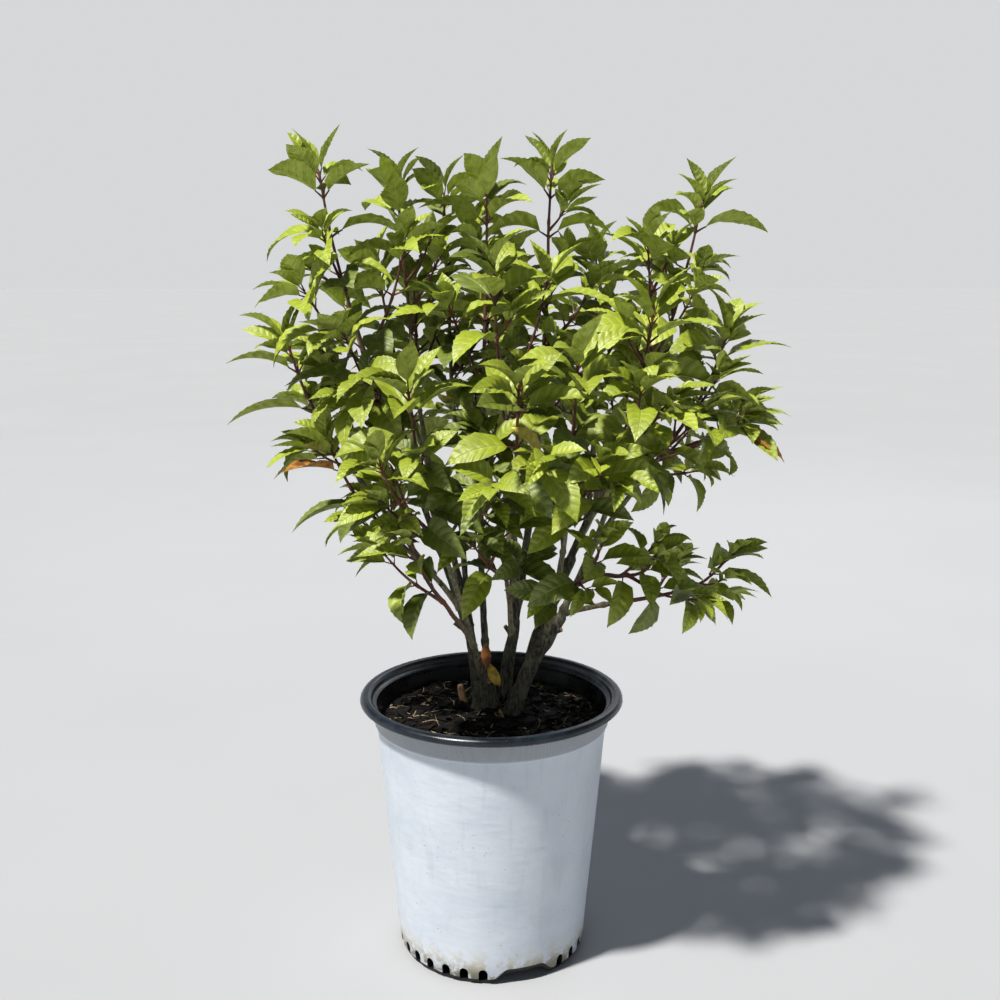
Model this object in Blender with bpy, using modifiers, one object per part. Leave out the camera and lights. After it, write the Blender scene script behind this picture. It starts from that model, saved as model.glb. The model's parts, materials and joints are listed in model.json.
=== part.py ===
"""Potted panicle hydrangea: a young multi-stemmed shrub in leaf, in its nursery pot.

The origin is the middle of the pot's flat underside, +Z is up, and -Y is the side that faces the viewer.
Lengths are in metres. The stems start as short trunks on the potting mix, each bough is one tapering limb, and
each mass of foliage is one solid: twigs that branch by a seeded rule, with leaves fused on.
"""

import math
import random

import bmesh
import bpy
from mathutils import Matrix, Vector
from mathutils.bvhtree import BVHTree

MM = 0.001
GAP = 0.3 * MM
UP = Vector((0.0, 0.0, 1.0))
SEED = 20

# Pot, an 11 litre nursery container
POT_HEIGHT = 285 * MM
POT_SIDES = 36
RIM_RADIUS = 140 * MM
RIM_WIDTH = 12 * MM
RIM_THICKNESS = 6.5 * MM
COLLAR_RADIUS = 124.5 * MM
COLLAR_DEPTH = 24 * MM
COLLAR_FOOT = POT_HEIGHT - RIM_THICKNESS - COLLAR_DEPTH
BODY_TOP_RADIUS = 121 * MM
BODY_FOOT_RADIUS = 99 * MM
FOOT_CORNER = 5 * MM
WALL = 2.4 * MM
FLOOR = 3 * MM

# Drainage: three raised stretches of the foot, with pointed slots between them
DRAINS = 3
FIRST_DRAIN = math.radians(-70)
DRAIN_HALF_WIDTH = math.radians(10.5)
DRAIN_RAMP = math.radians(9)
DRAIN_LIFT = 11 * MM
DRAIN_INNER_RADIUS = 66 * MM
DRAIN_STEP = 6 * MM
SLOTS_PER_STRETCH = 7
SLOT_PITCH = math.radians(11.6)
SLOT_WIDTH = 9.5 * MM
SLOT_HEIGHT = 14 * MM
SLOT_SILL = 3.5 * MM
SLOT_CUT = 30 * MM

# White sleeve moulded round the pot's wall
SLEEVE_THICKNESS = 0.8 * MM

# Potting mix
SOIL_LEVEL = 262 * MM
SOIL_FLAT_RADIUS = 58 * MM
SOIL_RIPPLE = 2 * MM

# Limbs and twigs
FLARE = 1.16
FLARE_HEIGHT = 9 * MM
STATION_PITCH = 54 * MM
TWIG_RADIUS = 2.5 * MM
TWIG_TIP_RADIUS = 1.5 * MM
SIDE_SHOOT_RADIUS = 2.0 * MM
TWIG_CLEARANCE = 1 * MM
FIRST_NODE = 6 * MM
FIRST_INTERNODE = 17 * MM
INTERNODE_GROWTH = 14 * MM
LONGEST_INTERNODE = 62 * MM
SIDE_SHOOT_CHANCE = 0.32

# Leaves. The tuples run from a shoot's tip down: angle to the shoot, droop in degrees, share of full length.
LEAF_LENGTH = 84 * MM
LEAF_WIDTH = 0.50
LEAF_FOLD = 0.055
LEAF_THICKNESS = 1.1 * MM
STALK_HEIGHT = 1.1 * MM
LEAF_CLEARANCE = 1.2 * MM
LEAF_LEVELLING = 0.5
LEAF_SEAT = 0.25 * MM
LEAF_ANGLES = (28, 46, 58, 64, 70)
LEAF_DROOPS = (26, 42, 52, 58, 64)
LEAF_SIZES = (0.66, 0.92, 1.0, 0.98, 0.88)
LEAF_TOP = ((0, 4, 3), (4, 6, 3), (2, 6, 4), (0, 2, 4))
LEAF_UNDERSIDE = ((1, 3, 5), (5, 3, 6), (2, 5, 6), (1, 5, 2))
LEAF_FACES = LEAF_TOP + LEAF_UNDERSIDE + ((1, 0, 3), (0, 1, 2))

# name: foot x, y; top x, y, z; foot and top radius, in mm
TRUNKS = {
    "trunk_left": ((-4, 12), (-8, 12, 294), 13.5, 11.0),
    "trunk_right": ((22, -1), (76, 6, 369), 9.0, 6.5),
    "trunk_middle": ((14, 31), (38, 28, 436), 7.5, 5.4),
    "trunk_back_left": ((-14, 42), (-34, 66, 390), 6.0, 4.8),
    "trunk_back_right": ((30, 38), (90, 62, 420), 6.5, 5.2),
}

# name: parent, share of the parent's length, seat beside its axis, tip of the leading shoot, share of the
# stem that is bare bough, radius at the fork, turn of the first leaves in degrees, further shoots as
# (share of the leafy stem, tip). Lengths in mm.
STEMS = {
    "tall_left": ("trunk_left", 0.8, (-5, 2), (-170, 0, 826), 0.54, 4.8, 0, ((0.08, (-140, -72, 668)),)),
    "low_left": ("tall_left", 0.28, (0, 0), (-163, -42, 560), 0.48, 3.4, 20, ((0.1, (-146, -56, 468)),)),
    "centre_left": ("trunk_left", 0.8, (4, 5), (-4, 20, 802), 0.62, 4.0, 90, ((0.15, (-42, -34, 695)),)),
    "front_left": ("trunk_left", 0.7, (0, -7), (-75, -155, 628), 0.52, 3.6, 40, ((0.12, (-100, -172, 560)),)),
    "far_left": ("low_left", 0.42, (0, 0), (-203, -18, 656), 0.46, 2.9, 10, ((0.15, (-188, 34, 590)),)),
    "skirt_left": ("front_left", 0.3, (0, 0), (-78, -118, 484), 0.44, 2.9, 70, ((0.1, (-112, -66, 458)),)),
    "left_back": ("trunk_back_left", 0.9, (-1, 0), (-122, 108, 728), 0.52, 3.8, 30, ((0.12, (-180, 95, 636)),)),
    "high_left": ("tall_left", 0.45, (0, 0), (-96, 58, 808), 0.50, 3.4, 60, ()),
    "high_back": ("trunk_back_left", 0.5, (0, 0), (-50, 102, 806), 0.58, 3.6, 15, ()),
    "back_left": ("left_back", 0.3, (0, 0), (-122, 192, 612), 0.46, 3.0, 80, ((0.12, (-70, 202, 540)),)),
    "high_right": ("trunk_middle", 0.9, (0, 1), (62, 50, 829), 0.54, 4.2, 5, ()),
    "front_high": ("trunk_middle", 0.62, (0, 0), (2, -96, 730), 0.56, 3.8, 50, ((0.15, (54, -42, 716)),)),
    "front_centre": ("front_high", 0.4, (0, 0), (24, -190, 634), 0.50, 3.0, 25, ((0.1, (48, -200, 570)),)),
    "skirt_centre": ("trunk_middle", 0.4, (0, 0), (4, -92, 530), 0.40, 3.2, 55, ((0.1, (-18, -100, 470)),)),
    "back_centre": ("trunk_middle", 0.5, (0, 0), (-5, 200, 684), 0.52, 3.6, 45, ((0.12, (5, 212, 570)),)),
    "front_right": ("trunk_right", 0.66, (0, 0), (78, -154, 648), 0.50, 4.0, 75, ((0.1, (96, -176, 560)),)),
    "skirt_front": ("front_right", 0.3, (0, 0), (104, -140, 482), 0.46, 3.0, 35, ()),
    "near_right": ("trunk_right", 0.92, (0, 0), (152, -96, 692), 0.50, 4.0, 0, ((0.12, (136, -146, 622)),)),
    "skirt_near": ("near_right", 0.25, (0, 0), (162, -104, 462), 0.50, 2.9, 55, ()),
    "far_right": ("near_right", 0.45, (0, 0), (238, -12, 666), 0.46, 3.2, 20, ((0.12, (250, -36, 580)),)),
    "skirt_right": ("trunk_back_right", 0.5, (0, 0), (250, -20, 440), 0.52, 3.6, 10, ((0.1, (205, -30, 500)),)),
    "tower_right": ("trunk_back_right", 0.9, (-1, 0), (218, 58, 794), 0.54, 4.2, 30, ((0.1, (158, 10, 754)),)),
    "high_back_right": ("tower_right", 0.25, (0, 0), (116, 134, 740), 0.50, 3.4, 70, ()),
    "edge_right": ("tower_right", 0.42, (0, 0), (266, 50, 584), 0.44, 3.2, 40, ((0.12, (236, 88, 512)),)),
    "back_right": ("trunk_back_right", 0.75, (0, 0), (192, 172, 634), 0.50, 3.6, 85, ((0.12, (150, 200, 540)),)),
    "back_mid": ("high_back_right", 0.3, (0, 0), (86, 218, 634), 0.46, 3.0, 65, ((0.12, (60, 220, 545)),)),
}


def clear_scene():
    """Removes everything that the file opened with."""
    for thing in list(bpy.data.objects):
        bpy.data.objects.remove(thing)


def new_collection(name):
    made = bpy.data.collections.new(name)
    bpy.context.scene.collection.children.link(made)
    return made


def hide_helper(thing, helpers):
    """Keeps a cutter or guide in the helpers' collection, out of renders and drawn as wire."""
    helpers.objects.link(thing)
    thing.hide_render = True
    thing.display_type = "WIRE"


def finish(name, colour, roughness):
    """A Principled material of one colour, given in linear values."""
    material = bpy.data.materials.new(name)
    material.use_nodes = True
    shader = material.node_tree.nodes["Principled BSDF"]
    shader.inputs["Base Color"].default_value = (*colour, 1.0)
    shader.inputs["Roughness"].default_value = roughness
    shader.inputs["Metallic"].default_value = 0.0
    return material


def as_mesh(thing, collection):
    """Turns a curve, or an object with live modifiers, into a plain welded mesh object in the collection."""
    bpy.context.view_layer.update()
    graph = bpy.context.evaluated_depsgraph_get()
    mesh = bpy.data.meshes.new_from_object(thing.evaluated_get(graph))
    name = thing.name
    mesh.transform(thing.matrix_world)
    bpy.data.objects.remove(thing)
    shape = bmesh.new()
    shape.from_mesh(mesh)
    bmesh.ops.remove_doubles(shape, verts=shape.verts, dist=1e-6)
    bmesh.ops.dissolve_degenerate(shape, edges=shape.edges, dist=1e-6)
    shape.to_mesh(mesh)
    shape.free()
    made = bpy.data.objects.new(name, mesh)
    collection.objects.link(made)
    return made


def turned(name, profile, collection):
    """A solid of revolution: an (r, z) half section carried once round +Z by a Screw modifier."""
    mesh = bpy.data.meshes.new(name)
    edges = [(i, i + 1) for i in range(len(profile) - 1)]
    mesh.from_pydata([(r, 0.0, z) for r, z in profile], edges, [])
    thing = bpy.data.objects.new(name, mesh)
    collection.objects.link(thing)
    screw = thing.modifiers.new("turn", "SCREW")
    screw.steps = POT_SIDES
    screw.render_steps = POT_SIDES
    screw.use_merge_vertices = True
    screw.merge_threshold = 1e-5
    screw.use_smooth_shade = False
    return as_mesh(thing, collection)


def cut(target, cutters, collection):
    """Takes each cutter away from the target and leaves the target a plain mesh."""
    for cutter in cutters:
        step = target.modifiers.new("cut", "BOOLEAN")
        step.operation = "DIFFERENCE"
        step.solver = "EXACT"
        step.object = cutter
    return as_mesh(target, collection)


def drain_lift(x, y, z):
    """How far the foot is raised at a point: the full lift over a drain, ramped at both its ends."""
    if math.hypot(x, y) < DRAIN_INNER_RADIUS - 0.1 * MM or z > FOOT_CORNER + FLOOR:
        return 0.0
    pitch = 2 * math.pi / DRAINS
    angle = math.atan2(y, x) - FIRST_DRAIN
    off = abs((angle + pitch / 2) % pitch - pitch / 2)
    share = (DRAIN_HALF_WIDTH + DRAIN_RAMP - off) / DRAIN_RAMP
    return DRAIN_LIFT * min(1.0, max(0.0, share))


def raise_drains(thing):
    """Lifts the foot of a turned piece over each drain, along the slope of the wall."""
    slope = (BODY_TOP_RADIUS - BODY_FOOT_RADIUS) / (COLLAR_FOOT - FOOT_CORNER)
    for vertex in thing.data.vertices:
        lift = drain_lift(*vertex.co)
        if lift > 0:
            vertex.co.xy *= 1 + slope * lift / vertex.co.xy.length
            vertex.co.z += lift


def slot_cutters(helpers):
    """Six-sided prisms that point outwards, one for each drainage slot."""
    size = Matrix.Diagonal((SLOT_HEIGHT, SLOT_WIDTH, SLOT_CUT, 1.0))
    reach = Matrix.Translation((BODY_FOOT_RADIUS, 0, SLOT_SILL + SLOT_HEIGHT / 2))
    lay = Matrix.Rotation(math.pi / 2, 4, "Y")
    point_up = Matrix.Rotation(math.pi / 2, 4, "Z")
    cutters = []
    for stretch in range(DRAINS):
        middle = FIRST_DRAIN + (stretch + 0.5) * 2 * math.pi / DRAINS
        for step in range(SLOTS_PER_STRETCH):
            angle = middle + (step - (SLOTS_PER_STRETCH - 1) / 2) * SLOT_PITCH
            place = Matrix.Rotation(angle, 4, "Z") @ reach @ lay @ size @ point_up
            shape = bmesh.new()
            bmesh.ops.create_cone(
                shape, cap_ends=True, segments=6, radius1=0.5, radius2=0.5, depth=1.0, matrix=place
            )
            mesh = bpy.data.meshes.new(f"slot_{stretch}_{step}")
            shape.to_mesh(mesh)
            shape.free()
            cutter = bpy.data.objects.new(mesh.name, mesh)
            hide_helper(cutter, helpers)
            cutters.append(cutter)
    return cutters


def wall_radius(z):
    """Outer radius of the tapering body wall at a height."""
    share = (z - FOOT_CORNER) / (COLLAR_FOOT - FOOT_CORNER)
    return BODY_FOOT_RADIUS + (BODY_TOP_RADIUS - BODY_FOOT_RADIUS) * share


def pot_profile():
    """Half section of the pot: out along its floor, up the inside, over the lip and down the outside."""
    lip = RIM_RADIUS - RIM_WIDTH
    return [
        (0, FLOOR),
        (DRAIN_INNER_RADIUS - DRAIN_STEP, FLOOR),
        (DRAIN_INNER_RADIUS + FLOOR, FLOOR),
        (BODY_FOOT_RADIUS - WALL - 5 * MM, FLOOR),
        (wall_radius(FOOT_CORNER + 4 * MM) - WALL, FOOT_CORNER + 4 * MM),
        (BODY_TOP_RADIUS - WALL, COLLAR_FOOT),
        (COLLAR_RADIUS - WALL, POT_HEIGHT - 11 * MM),
        (lip, POT_HEIGHT - 2 * MM),
        (lip + 3 * MM, POT_HEIGHT),
        (RIM_RADIUS - 2.5 * MM, POT_HEIGHT - 0.6 * MM),
        (RIM_RADIUS, POT_HEIGHT - 3 * MM),
        (RIM_RADIUS - 0.8 * MM, POT_HEIGHT - RIM_THICKNESS),
        (COLLAR_RADIUS, POT_HEIGHT - RIM_THICKNESS - 1 * MM),
        (COLLAR_RADIUS - 0.6 * MM, COLLAR_FOOT + 1.5 * MM),
        (BODY_TOP_RADIUS, COLLAR_FOOT - 1.5 * MM),
        (BODY_FOOT_RADIUS, FOOT_CORNER),
        (BODY_FOOT_RADIUS - 1.5 * MM, 1.5 * MM),
        (BODY_FOOT_RADIUS - 5 * MM, 0),
        (DRAIN_INNER_RADIUS, 0),
        (DRAIN_INNER_RADIUS - DRAIN_STEP, 0),
        (0, 0),
    ]


def sleeve_profile():
    """Closed half section of the sleeve, which follows the pot's outside from under the lip to the foot."""
    line = [
        (COLLAR_RADIUS, POT_HEIGHT - RIM_THICKNESS - 2.5 * MM),
        (COLLAR_RADIUS - 0.6 * MM, COLLAR_FOOT + 1.5 * MM),
        (BODY_TOP_RADIUS, COLLAR_FOOT - 1.5 * MM),
        (BODY_FOOT_RADIUS, FOOT_CORNER),
    ]
    outer = [(r + GAP + SLEEVE_THICKNESS, z) for r, z in line]
    inner = [(r + GAP, z) for r, z in reversed(line)]
    return outer + inner + outer[:1]


def soil_profile():
    """Half section of the potting mix, a little inside the pot's wall, its floor and its raised drains."""
    inner = WALL + 2 * GAP
    top = BODY_TOP_RADIUS - inner
    floor = FLOOR + GAP
    ledge = floor + DRAIN_LIFT + 2 * GAP
    return [
        (0, SOIL_LEVEL),
        (SOIL_FLAT_RADIUS, SOIL_LEVEL),
        (0.8 * top, SOIL_LEVEL - 1.5 * MM),
        (top + 1 * MM, SOIL_LEVEL - 3 * MM),
        (top, COLLAR_FOOT),
        (wall_radius(ledge + 7 * MM) - inner, ledge + 7 * MM),
        (BODY_FOOT_RADIUS - WALL - 6 * MM, ledge),
        (DRAIN_INNER_RADIUS - DRAIN_STEP, ledge),
        (DRAIN_INNER_RADIUS - 2 * DRAIN_STEP, floor),
        (0, floor),
    ]


def make_pot(collection, helpers, finishes):
    """The container, its sleeve and the potting mix."""
    cutters = slot_cutters(helpers)
    pot = turned("pot", pot_profile(), collection)
    raise_drains(pot)
    pot = cut(pot, cutters, collection)
    sleeve = turned("pot_sleeve", sleeve_profile(), collection)
    raise_drains(sleeve)
    sleeve = cut(sleeve, cutters, collection)
    soil = turned("potting_mix", soil_profile(), collection)
    rng = random.Random(SEED)
    for vertex in soil.data.vertices:
        if vertex.co.z > SOIL_LEVEL - 2 * MM and vertex.co.xy.length > SOIL_FLAT_RADIUS + 1 * MM:
            vertex.co.z += rng.uniform(-1.0, 0.4) * SOIL_RIPPLE
    for thing, key in ((pot, "black_plastic"), (sleeve, "white_film"), (soil, "potting_mix")):
        thing.data.materials.append(finishes[key])


def curve_points(knots, first, last, count):
    """Points of the cubic curve through four control points, between two shares of it."""
    a, b, c, d = knots
    points = []
    for i in range(count):
        t = first + (last - first) * i / (count - 1)
        s = 1 - t
        points.append(a * s**3 + b * 3 * s * s * t + c * 3 * s * t * t + d * t**3)
    return points


def along(path, share):
    """Point and direction at a share of a path's points."""
    place = min(max(share, 0.0), 0.9999) * (len(path) - 1)
    i = int(place)
    step = path[i + 1] - path[i]
    return path[i] + step * (place - i), step.normalized()


def path_length(path):
    return sum((b - a).length for a, b in zip(path, path[1:]))


def stations(length, fewest):
    """How many points a limb or shoot of this length is drawn with."""
    return max(fewest, round(length / STATION_PITCH) + 1)


def trunk_knots(foot, top):
    """Control points of a trunk, which leans more towards its top."""
    run = top - foot
    low = foot + Vector((run.x * 0.22, run.y * 0.22, run.z * 0.36))
    high = foot + Vector((run.x * 0.58, run.y * 0.58, run.z * 0.68))
    return foot, low, high, top


def stem_knots(fork, ahead, tip, hold=0.35):
    """Control points of a stem: it leaves partly along its parent and ends more upright than its run."""
    run = tip - fork
    reach = run.length * 0.35
    leave = (ahead * hold + run.normalized() * (1 - hold)).normalized()
    arrive = (run.normalized() * 0.45 + UP * 0.55).normalized()
    return fork, fork + leave * reach, tip - arrive * reach, tip


def limb_plan():
    """Works out every trunk, bough and leading shoot: its points, and the limb's radius at each end."""
    limbs = {}
    for name, (foot, top, foot_radius, top_radius) in TRUNKS.items():
        start = Vector((*foot, SOIL_LEVEL / MM)) * MM
        end = Vector(top) * MM
        path = curve_points(trunk_knots(start, end), 0.0, 1.0, stations((end - start).length, 3))
        limbs[name] = {"path": path, "radii": (foot_radius * MM, top_radius * MM), "parent": None}
    for name, (parent, share, seat, tip, bare, radius, _, _) in STEMS.items():
        fork, ahead = along(limbs[parent]["path"], share)
        fork = fork + Vector((*seat, 0)) * MM
        end = Vector(tip) * MM
        knots = stem_knots(fork, ahead, end, 0.6 if share > 0.75 else 0.25)
        run = (end - fork).length
        path = curve_points(knots, 0.0, bare, stations(run * bare, 4))
        leafy = curve_points(knots, bare, 1.0, stations(run * (1 - bare), 3))
        straight = (path[-1] - path[-2]).normalized()
        leafy[0] = path[-1] + straight * GAP
        leafy.insert(1, leafy[0] + straight * 6 * MM)
        limbs[name] = {"path": path, "leafy": leafy, "radii": (radius * MM, TWIG_RADIUS), "parent": parent}
    return limbs


def node_shares(length):
    """Shares of a shoot's length at which its leaves sit, from its tip down, further apart lower down."""
    below, step, shares = FIRST_NODE, FIRST_INTERNODE, []
    while below < length - 12 * MM:
        shares.append(1 - below / length)
        below += step
        step = min(step + INTERNODE_GROWTH, LONGEST_INTERNODE)
    return shares


def turned_side(ahead, turn):
    """A direction square to a shoot, at a turn about it from +X."""
    across = Vector((1.0, 0.0, 0.0))
    across = (across - ahead * across.dot(ahead)).normalized()
    return across * math.cos(turn) + ahead.cross(across) * math.sin(turn)


def side_shoot(path, share, turn, reach):
    """A short shoot that leaves a leading shoot at an angle and curves upwards."""
    start, ahead = along(path, share)
    heading = (ahead * 0.62 + turned_side(ahead, turn) * 0.78).normalized()
    tip = start + heading * reach * 0.75 + (ahead + UP).normalized() * reach * 0.35
    knots = (start, start + heading * reach * 0.4, start.lerp(tip, 0.62) + heading * reach * 0.06, tip)
    return curve_points(knots, 0.0, 1.0, 3)


def tube_shell(path, radii, sides=4):
    """Corners and faces of a plain tube without caps, for clearance tests only."""
    corners, faces = [], []
    count = len(path)
    for i, point in enumerate(path):
        _, ahead = along(path, i / (count - 1))
        radius = radii[0] + (radii[1] - radii[0]) * i / (count - 1)
        for k in range(sides):
            corners.append(point + turned_side(ahead, 2 * math.pi * k / sides) * radius)
    for i in range(count - 1):
        for k in range(sides):
            a, b = i * sides + k, i * sides + (k + 1) % sides
            faces += [(a, b, b + sides), (a, b + sides, a + sides)]
    return corners, faces


def twig_shell(path, first, last):
    """A tube with clearance, round the stretch of a twig between two shares of its length."""
    points = [along(path, first + (last - first) * i / 4)[0] for i in range(5)]
    return tube_shell(points, (TWIG_RADIUS + TWIG_CLEARANCE, TWIG_TIP_RADIUS + TWIG_CLEARANCE))


class Keepout:
    """Everything placed so far, as one growing set of triangles to test new pieces against."""

    def __init__(self):
        self.corners, self.faces, self.owners, self.tree = [], [], [], None

    def add(self, shell, owner):
        base = len(self.corners)
        self.corners += shell[0]
        self.faces += [tuple(base + i for i in face) for face in shell[1]]
        self.owners += [owner] * len(shell[1])
        self.tree = None

    def hits(self, shell, own=None):
        """Whether a shell crosses anything, leaving out what belongs to its own mass where that is given."""
        if self.tree is None:
            self.tree = BVHTree.FromPolygons(self.corners, self.faces)
        found = self.tree.overlap(BVHTree.FromPolygons(*shell))
        return any(own is None or self.owners[i] != own for i, _ in found)


def twig_plan(limbs, keepout):
    """Works out the twigs of every mass, its leading shoot first, and skips those with no room."""
    for name, limb in limbs.items():
        keepout.add(tube_shell(limb["path"], limb["radii"], 6), f"{name} bough")
        if "leafy" in limb:
            keepout.add(tube_shell(limb["leafy"], (TWIG_RADIUS, TWIG_TIP_RADIUS)), name)
    twigs = {}
    for number, (name, row) in enumerate(STEMS.items()):
        rng = random.Random(SEED + number)
        turn = math.radians(row[6])
        lead = limbs[name]["leafy"]
        offers = []
        for share, tip in row[7]:
            start, ahead = along(lead, share)
            knots = stem_knots(start, ahead, Vector(tip) * MM)
            offers.append(curve_points(knots, 0.0, 1.0, stations((knots[3] - start).length, 3)))
        for leader in [lead] + offers[:]:
            length = path_length(leader)
            for rank, share in enumerate(node_shares(length)):
                room = (1 - share) * length
                chance, swing, vigour = rng.random(), rng.uniform(-0.5, 0.5), rng.uniform(0.5, 0.75)
                if rank >= 2 and room > 80 * MM and chance < SIDE_SHOOT_CHANCE:
                    side = turn + rank * math.pi / 2 + swing
                    offers.append(side_shoot(leader, share, side, room * vigour))
        twigs[name] = [lead]
        for path in offers:
            foot, rest = twig_shell(path, 0.0, 0.2), twig_shell(path, 0.2, 1.0)
            if not keepout.hits(foot, name) and not keepout.hits(rest):
                keepout.add(tube_shell(path, (TWIG_RADIUS, TWIG_TIP_RADIUS)), name)
                twigs[name].append(path)
    return twigs


def leaf_frame(root, ahead, side, spread, roll):
    """Directions of a leaf: out along its stalk, and out of its upper face, which looks up the shoot."""
    out = ahead * math.cos(spread) + side * math.sin(spread)
    sky = ahead * 0.35 + UP * 0.75
    face = (sky - out * sky.dot(out)).normalized()
    return root, out, Matrix.Rotation(roll, 3, out) @ face


def leaf_spot(frame, length, droop, along_share, across_share, lift):
    """A point of a leaf whose midrib is an arc that bends down from its stalk."""
    root, out, face = frame
    swing = droop * along_share
    point = root + (out * math.sin(swing) - face * (1 - math.cos(swing))) * (length / droop)
    normal = face * math.cos(swing) + out * math.sin(swing)
    return point + face.cross(out) * (across_share * length) + normal * lift


def leaf_corners(frame, length, droop, margin=0.0, start=0.0):
    """Seven corners of a leaf: top and bottom of its stalk, both edges, the middle of both faces, and its tip."""
    half = LEAF_WIDTH / 2 + margin / length
    fold = LEAF_FOLD * length
    thick = max(LEAF_THICKNESS / 2, margin)
    return [
        leaf_spot(frame, length, droop, start, 0.0, STALK_HEIGHT / 2),
        leaf_spot(frame, length, droop, start, 0.0, -STALK_HEIGHT / 2),
        leaf_spot(frame, length, droop, 0.50, -half, fold),
        leaf_spot(frame, length, droop, 0.50, half, fold),
        leaf_spot(frame, length, droop, 0.46, 0.0, thick),
        leaf_spot(frame, length, droop, 0.46, 0.0, -thick),
        leaf_spot(frame, length, droop, 1.0 + margin / length, 0.0, 0.0),
    ]


def leaf_offers(number, name, shoots):
    """Every leaf that a mass would like to have, with its rank below its shoot's tip."""
    rng = random.Random(10 * SEED + number)
    turn = math.radians(STEMS[name][6])
    offers = []
    for order, path in enumerate(shoots):
        length = path_length(path)
        vigour = min(1.0, 0.62 + length / (0.45 if order else 0.36))
        for rank, share in enumerate(node_shares(length)):
            start, ahead = along(path, share)
            whorl = 3 if order == 0 and rank == 1 else 2
            low = min(rank, len(LEAF_SIZES) - 1)
            for k in range(whorl):
                angle = turn + rank * math.pi / 2 + k * 2 * math.pi / whorl + rng.uniform(-0.25, 0.25)
                spread = math.radians(LEAF_ANGLES[low] + rng.uniform(-8, 8))
                size = LEAF_LENGTH * vigour * LEAF_SIZES[low] * rng.uniform(0.88, 1.06)
                droop = math.radians(LEAF_DROOPS[low] + rng.uniform(-14, 14))
                roll = rng.uniform(-0.3, 0.3)
                offers.append((rank, number, name, start, ahead, angle, spread, size, droop, roll))
    return offers


def leaf_plan(twigs, keepout):
    """Places the leaves of all masses in turns from the shoots' tips down, and skips those with no room."""
    offers = []
    for number, (name, shoots) in enumerate(twigs.items()):
        offers += leaf_offers(number, name, shoots)
    offers.sort(key=lambda offer: offer[:2])
    leaves = {name: [] for name in twigs}
    for _, _, name, start, ahead, angle, spread, size, droop, roll in offers:
        for swing, shrink in ((0, 1.0), (0.45, 1.0), (-0.45, 1.0), (0.2, 0.85), (-0.2, 0.72)):
            side = turned_side(ahead, angle + swing)
            side = Vector((side.x, side.y, side.z * LEAF_LEVELLING)).normalized()
            frame = leaf_frame(start + side * LEAF_SEAT, ahead, side, spread, roll)
            length = size * shrink
            blade = leaf_corners(frame, length, droop, LEAF_CLEARANCE, 0.2), LEAF_FACES
            whole = leaf_corners(frame, length, droop), LEAF_FACES
            if not keepout.hits(blade) and not keepout.hits(whole, name):
                keepout.add(whole, name)
                leaves[name].append(whole[0])
                break
    return leaves


def tube(name, path, radii, collection, section=None, resolution=1):
    """A tapering limb or twig: a straight-sided curve with a bevel, its ends capped, made a mesh."""
    data = bpy.data.curves.new(name, "CURVE")
    data.dimensions = "3D"
    data.use_fill_caps = True
    if section is None:
        data.bevel_depth = 1.0
        data.bevel_resolution = resolution
    else:
        data.bevel_mode = "OBJECT"
        data.bevel_object = section
    line = data.splines.new("POLY")
    line.points.add(len(path) - 1)
    for i, point in enumerate(path):
        line.points[i].co = (*point, 1.0)
        line.points[i].radius = radii[i]
    thing = bpy.data.objects.new(name, data)
    collection.objects.link(thing)
    return as_mesh(thing, collection)


def even_radii(radii, count):
    return [radii[0] + (radii[1] - radii[0]) * i / (count - 1) for i in range(count)]


def make_trunk(name, limb, collection):
    """A trunk that flares at its foot, cut flat where it stands on the potting mix."""
    path, radii = limb["path"], even_radii(limb["radii"], len(limb["path"]))
    ahead = (path[1] - path[0]).normalized()
    path = [path[0] - ahead * FLARE_HEIGHT, path[0] + ahead * FLARE_HEIGHT] + path[1:]
    radii = [radii[0] * (2 * FLARE - 1), radii[0]] + radii[1:]
    made = tube(name, path, radii, collection, resolution=2)
    shape = bmesh.new()
    shape.from_mesh(made.data)
    ground = Vector((0, 0, SOIL_LEVEL + GAP))
    everything = shape.verts[:] + shape.edges[:] + shape.faces[:]
    bmesh.ops.bisect_plane(shape, geom=everything, plane_co=ground, plane_no=UP, clear_inner=True)
    bmesh.ops.holes_fill(shape, edges=shape.edges)
    shape.to_mesh(made.data)
    shape.free()
    return made


def make_limbs(limbs, collection, helpers, bark):
    """Each trunk, and each bough cut back where it leaves its parent."""
    for name, limb in limbs.items():
        if limb["parent"] is None:
            made = make_trunk(name, limb, collection)
        else:
            made = tube(name, limb["path"], even_radii(limb["radii"], len(limb["path"])), collection)
            parent = limbs[limb["parent"]]
            seat_path = list(parent["path"])
            seat_path[-1] = seat_path[-1] + (seat_path[-1] - seat_path[-2]).normalized() * GAP
            wide = [radius + 1.6 * GAP for radius in even_radii(parent["radii"], len(seat_path))]
            sides = 2 if parent["parent"] is None else 1
            seat = tube(f"{name}_seat", seat_path, wide, helpers, resolution=sides)
            made = cut(made, [seat], collection)
            bpy.data.objects.remove(seat)
        made.data.materials.append(bark)
        made.data.shade_smooth()
        made.data.set_sharp_from_angle(angle=math.radians(50))


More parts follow.
